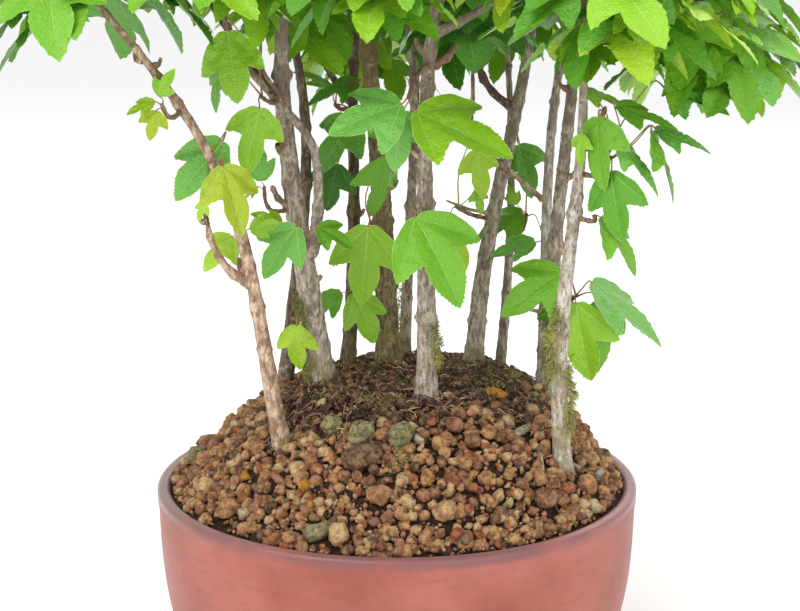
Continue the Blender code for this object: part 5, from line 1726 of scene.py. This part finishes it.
def moss_tuft(centre, out, size, draw):
    """A tuft of ten fine moss strands that lean outwards from one place."""
    points = []
    faces = []
    for i in range(10):
        lean = Vector(draw.gauss(0, 0.85) for k in range(3))
        way = (out + lean).normalized()
        root = centre + (lean - out * lean.dot(out)) * size * 0.7
        tall = size * draw.uniform(0.6, 1.5)
        side = across(way, Vector(draw.gauss(0, 1) for k in range(3))) * (0.13 + size * 0.03)
        sag = Vector((0, 0, -0.25)) * tall
        base = len(points)
        points += [root - side, root + side, root + way * tall * 0.55 + side * 0.7,
                   root + way * tall * 0.5 - side * 0.7, root + way * tall + sag]
        corners = ((0, 1, 2), (0, 2, 3), (3, 2, 4))
        faces += [tuple(base + i for i in corner) for corner in corners]
    return as_rows(points), np.array(faces)


def make_moss(limbs):
    """Moss in loose tufts: patches over the crest and up the weather side of some stems."""
    draw = random.Random(SEED + 800)
    tones = {tone: [] for tone in MOSS_TONES}
    for x, y, spread, count, first, share in MOSS_PATCHES:
        for i in range(count):
            px = x + draw.gauss(0, spread)
            py = y + draw.gauss(0, spread)
            if math.hypot(px, py) > MOSS_EDGE:
                continue
            tone = first if draw.random() < share else draw.choice(list(tones))
            spot = Vector((px, py, mound(px, py) + draw.uniform(-0.2, 1.2)))
            tuft = moss_tuft(spot, Vector((0, 0, 1)), draw.uniform(0.9, 2.4), draw)
            tones[tone].append(tuft)
    for name, low, high, azimuth, spread, count, size in MOSS_RUNS:
        for i in range(count):
            share = draw.random()
            point, direction, radius = limbs[name].at(low + (high - low) * share)
            out = across(direction, heading(azimuth + draw.gauss(0, spread), 0))
            bulge = math.sin(math.pi * share) * (0.6 + 0.4 * math.sin(share * 14.0))
            spot = point + out * (radius - 0.3 + draw.random() * size * bulge)
            tone = draw.choices(list(MOSS_SHARES), list(MOSS_SHARES.values()))[0]
            tones[tone].append(moss_tuft(spot, out, size * draw.uniform(0.3, 0.7), draw))
    for tone, colour in MOSS_TONES.items():
        finish = make_moss_finish(f"{tone}_moss", colour)
        mesh_piece(f"moss_{tone}", tones[tone], finish, ("soil",))


def make_moss_finish(name, colour):
    """Dry cushion moss: soft strands with a faint velvety edge."""
    finish, tree, shader, place = new_finish(
        name, Base_Color=hexed(colour), Roughness=0.85, Sheen_Weight=0.3)
    fibre = put(tree, "TexNoise", {"Vector": place, "Scale": per_mm(0.8)})
    relief = put(tree, "Bump", {"Height": fibre, "Strength": 0.5, "Distance": 0.3 * MM})
    dress(tree, shader, Normal=relief)
    return finish


# Growth beyond the solids

def fine_shoot(mass, path, place, thin):
    """A short shoot from a place along a twig, or None where nothing is clear."""
    draw = mass.draw
    i = min(int(place * (len(path) - 1)), len(path) - 2)
    node = path[i].lerp(path[i + 1], place * (len(path) - 1) - i)
    along = (path[i + 1] - path[i]).normalized()
    for attempt in range(TWIG_TRIES):
        stray = Vector(draw.gauss(0, 0.7) for n in range(3))
        way = (along * 0.6 + stray + Vector((0, 0, 0.25))).normalized()
        length = draw.uniform(*FINE_SHOOT_LENGTH)
        shoot = bend(node, way * length * 0.5, node + way * length + Vector((0, 0, 2.0)), 3)
        if mass.holds(shoot[-1]) and mass.add_twig(shoot, thin, thin * TWIG_TAPER):
            return shoot
    return None


def grow_finer(mass):
    """Short shoots from every twig of a crown mass, with smaller leaves, in the same space."""
    swing = math.radians(PETIOLE_SWING)
    for path, _, thin in list(mass.paths):
        for k in range(FINE_SHOOTS):
            place = 0.30 + 0.62 * (k + mass.draw.random()) / FINE_SHOOTS
            shoot = fine_shoot(mass, path, place, thin)
            if not shoot:
                continue
            tip = (shoot[-1] - shoot[-2]).normalized()
            level = across(tip, Vector((0, 0, 1)))
            sites = [(shoot[-1], tip)]
            for n in range(4):
                turn = (tip.cross(level) if n < 2 else level) * (-1) ** n
                spot = shoot[-1].lerp(shoot[-2], 0.2 + 0.35 * (n // 2))
                sites.append((spot, tip * math.cos(swing) + turn * math.sin(swing)))
            for spot, petiole in sites:
                try_leaf(mass, spot, petiole, FINE_LEAF)


def grow_everything():
    """Every limb and mass of the planting, by the rule that the solids were grown by."""
    limbs = {}
    shapes = {}
    starts = {}
    for name, row in TRUNKS.items():
        limbs[name] = trunk_limb(row)
        shapes[name] = limb_mesh(limbs[name], TRUNK_SIDES, Vector((0, 0, 1)), ROOT_LOBE_DEPTH)
        starts[name] = Vector((0, 0, 1))
    for name, (carrier, share, headings, length, thick, thin) in BOUGHS.items():
        point, direction, radius = limbs[carrier].at(share)
        radial = across(direction, heading(*headings[0]))

        def shape_at(start):
            return limb_mesh(bough_limb(start, headings, length, thick, thin), BOUGH_SIDES, radial)

        start = seat(point, radial, radius, shape_at, tree_of(*shapes[carrier]))
        limbs[name] = bough_limb(start, headings, length, thick, thin)
        shapes[name] = shape_at(start)
        starts[name] = radial
    masses = {}

    def tree_without(name):
        return tree_of(*add_shapes([shapes[other] for other in shapes if other != name]))

    for number, name in enumerate(list(SPRAYS) + list(CROWN)):
        draw = random.Random(SEED + number)
        if name in SPRAYS:
            mass = Mass(draw)
            start_spray(mass, SPRAYS[name], limbs, shapes, tree_without(name))
        else:
            mass = Mass(draw, Vector(CROWN[name][1]), Vector(CROWN[name][2]))
            start_crown(mass, CROWN[name], limbs, tree_without(name))
        masses[name] = mass
        shapes[name] = mass.twigs[0]
    rounds = [(name, grow_spray, (SPRAYS[name],)) for name in SPRAYS]
    rounds += [(name, grow_crown, (CROWN[name],)) for name in CROWN]
    rounds += [(name, grow_finer, ()) for name in CROWN]
    for name, grow, row in rounds:
        mass = masses[name]
        mass.blocked = tree_without(name)
        grow(mass, *row)
        shapes[name] = add_shapes(mass.twigs + mass.leaves)
    return limbs, starts, masses


def leaf_forms(spans, grid, full):
    """A stock of leaf forms, each with several ways of folding and drooping."""
    draw = random.Random(SEED + 900)
    ranges = ((0.05, 0.26), (0.04, 0.24), (0.05, 0.42), (0.008, 0.022), (0, 6.28), (-0.2, 0.2))
    stock = []
    for outline in BLADE_FORMS:
        form = blade_form(outline, spans, grid, full)
        for k in range(BLADE_FOLDS):
            stock.append((form, [draw.uniform(*ends) for ends in ranges]))
    return stock


def make_leaf_finish(tint, colour, dull):
    """A maple leaf's upper skin: waxy, softly glossy, quilted between its finest veins."""
    finish, tree, shader, place = new_finish(
        f"{tint}_maple_leaf", Base_Color=hexed(colour), Roughness=dull, IOR=1.45)
    quilt = put(tree, "TexNoise", {"Vector": place, "Scale": per_mm(3.2), "Detail": 3.0})
    net = put(tree, "TexVoronoi", {"Vector": place, "Scale": per_mm(1.5)}, feature="DISTANCE_TO_EDGE")
    both = put(tree, "Math", {0: net, 1: 0.35, 2: quilt}, operation="MULTIPLY_ADD")
    relief = put(tree, "Bump", {"Height": both, "Strength": 0.8, "Distance": 1.3 * MM})
    dress(tree, shader, Normal=relief)
    return finish


def make_stalk_finish(name, colour, ends):
    """A leaf's stalk or vein: smooth green tissue that reddens in patches where sun reached it."""
    finish, tree, shader, place = new_finish(name, Roughness=0.48)
    dress(tree, shader, Base_Color=mottled(tree, place, colour, ends, 9.0, (0.40, 0.60), Detail=2.0))
    return finish


def twig_tube(path, thick, thin, sides):
    """A twig with a raised ring at every fourth step, its root sunk in what carries it."""
    fine = rounded([path[0] - (path[1] - path[0]).normalized() * 1.6] + list(path), 3)
    last = len(fine) - 1
    radii = []
    for i in range(last + 1):
        radius = (thick + (thin - thick) * i / last) / 2 * 0.74
        radii.append(radius * (1.0 + 0.28 * (i % 4 == 0)))
    return tube(fine, radii, sides)


def make_foliage(masses):
    """All blades by tint, their veins, their stalks and the twigs that carry them."""
    draw = random.Random(SEED + 1000)
    crown_stock = leaf_forms(*CROWN_BLADE)
    low_stock = leaf_forms(*LOW_BLADE)
    tints = list(LEAF_TINTS)
    shares = [row[1] for row in LEAF_TINTS.values()]
    blades = {tint: [] for tint in tints}
    stands = {tint: set() for tint in tints}
    veins = {kind: [] for kind in VEIN_TONES}
    stalks = {kind: [] for kind in STALK_TONES}
    twigs = []
    for name, mass in masses.items():
        low = name in SPRAYS
        given = SPRAY_TINTS.get(name, ())
        for i, blade in enumerate(mass.blades):
            if i % 3 == 0:
                tint = draw.choices(tints, shares)[0]
                stalk = draw.choice(list(stalks))
            own = tint if draw.random() < 0.7 else draw.choices(tints, shares)[0]
            if i < len(given):
                own = given[i]
            form, rule = draw.choice(low_stock if low else crown_stock)
            blades[own].append(shaped_leaf(blade, form, rule))
            stands[own].add(name)
            kind = "soft" if own in DARK_TINTS else "pale"
            veins[kind].append(shaped_leaf(blade, form, rule, "veins", 0.12))
            if low:
                # The pale rim of a low leaf, a painted highlight, goes in with its veins.
                veins[kind].append(shaped_leaf(blade, form, rule, "edge", 0.10))
            stalks[stalk].append(petiole_tube(blade, draw, low))
        for row in [(mass.stem, STEM_DIAMETER, TWIG_DIAMETER)] + mass.paths:
            twigs.append(twig_tube(*row, 6 if low else 5))
    everyone = list(masses)
    for tint, (colour, share, dull) in LEAF_TINTS.items():
        finish = make_leaf_finish(tint, colour, dull)
        mesh_piece(f"leaves_{tint}", blades[tint], finish, sorted(stands[tint]))
    for kind, tones in VEIN_TONES.items():
        finish = make_stalk_finish(f"{kind}_leaf_vein", *tones)
        mesh_piece(f"veins_{kind}", veins[kind], finish, everyone)
    for kind, tones in STALK_TONES.items():
        finish = make_stalk_finish(f"{kind}_leaf_stalk", *tones)
        mesh_piece(f"stalks_{kind}", split_quads(stalks[kind]), finish, everyone)
    finish = make_bark("twig_bark", "#A08468", "#5E4634", "#86664A", 0.0, 0.3)
    mesh_piece("twigs", split_quads(twigs), finish, everyone)


# Studio

def make_studio():
    """A pale seamless floor, big soft lights, a soft sky and the view."""
    bpy.ops.mesh.primitive_plane_add(size=30.0, location=(0, 0, -0.0002))
    floor = bpy.context.object
    floor.name = "floor"
    finish = new_finish(
        "pale_floor", Base_Color=hexed("#F4F4F4"), Roughness=0.9, Specular_IOR_Level=0.1)[0]
    floor.data.materials.append(finish)
    world = bpy.data.worlds.new("soft_sky")
    bpy.context.scene.world = world
    world.use_nodes = True
    sky = world.node_tree.nodes["Background"]
    sky.inputs["Color"].default_value = (1.0, 1.0, 1.0, 1.0)
    sky.inputs["Strength"].default_value = 1.0
    for name, place, aim, size, power in LAMPS:
        lamp = bpy.data.lights.new(name, "AREA")
        lamp.size = size
        lamp.energy = power
        holder = bpy.data.objects.new(name, lamp)
        holder.location = place
        holder.rotation_euler = (Vector(aim) - Vector(place)).to_track_quat("-Z", "Y").to_euler()
        bpy.context.scene.collection.objects.link(holder)
    bpy.context.scene.view_settings.view_transform = "Standard"
    lens = bpy.data.cameras.new("view")
    lens.lens = LENS
    lens.sensor_width = 36.0
    lens.clip_start = 0.02
    eye = bpy.data.objects.new("view", lens)
    eye.location = EYE_PLACE
    eye.rotation_euler = (math.radians(EYE_PITCH), 0.0, 0.0)
    bpy.context.scene.collection.objects.link(eye)
    bpy.context.scene.camera = eye


def main():
    """Dress every node of the planting."""
    limbs, starts, masses = grow_everything()
    feet = [(limbs[name].axis[0].x, limbs[name].axis[0].y, limbs[name].radii[0]) for name in TRUNKS]
    barks = {name: make_bark(f"{name}_maple_bark", *tones) for name, tones in BARKS.items()}
    for number, (name, limb) in enumerate(limbs.items()):
        tone, rough = LIMB_BARKS[name]
        sides, pitch = TRUNK_SKIN if name in TRUNKS else BOUGH_SKIN
        lobes = ROOT_LOBE_DEPTH if name in TRUNKS else 0.0
        skin = bark_skin(limb, sides, pitch, starts[name], lobes, rough, number + 1)
        mesh_piece(f"{name}_bark", [skin], barks[tone], (name,))
    make_spurs(limbs, barks["tan"])
    make_clay_pot()
    make_root_mound()
    make_grains(feet)
    make_surface_roots(feet)
    make_moss(limbs)
    make_foliage(masses)
    make_studio()


main()
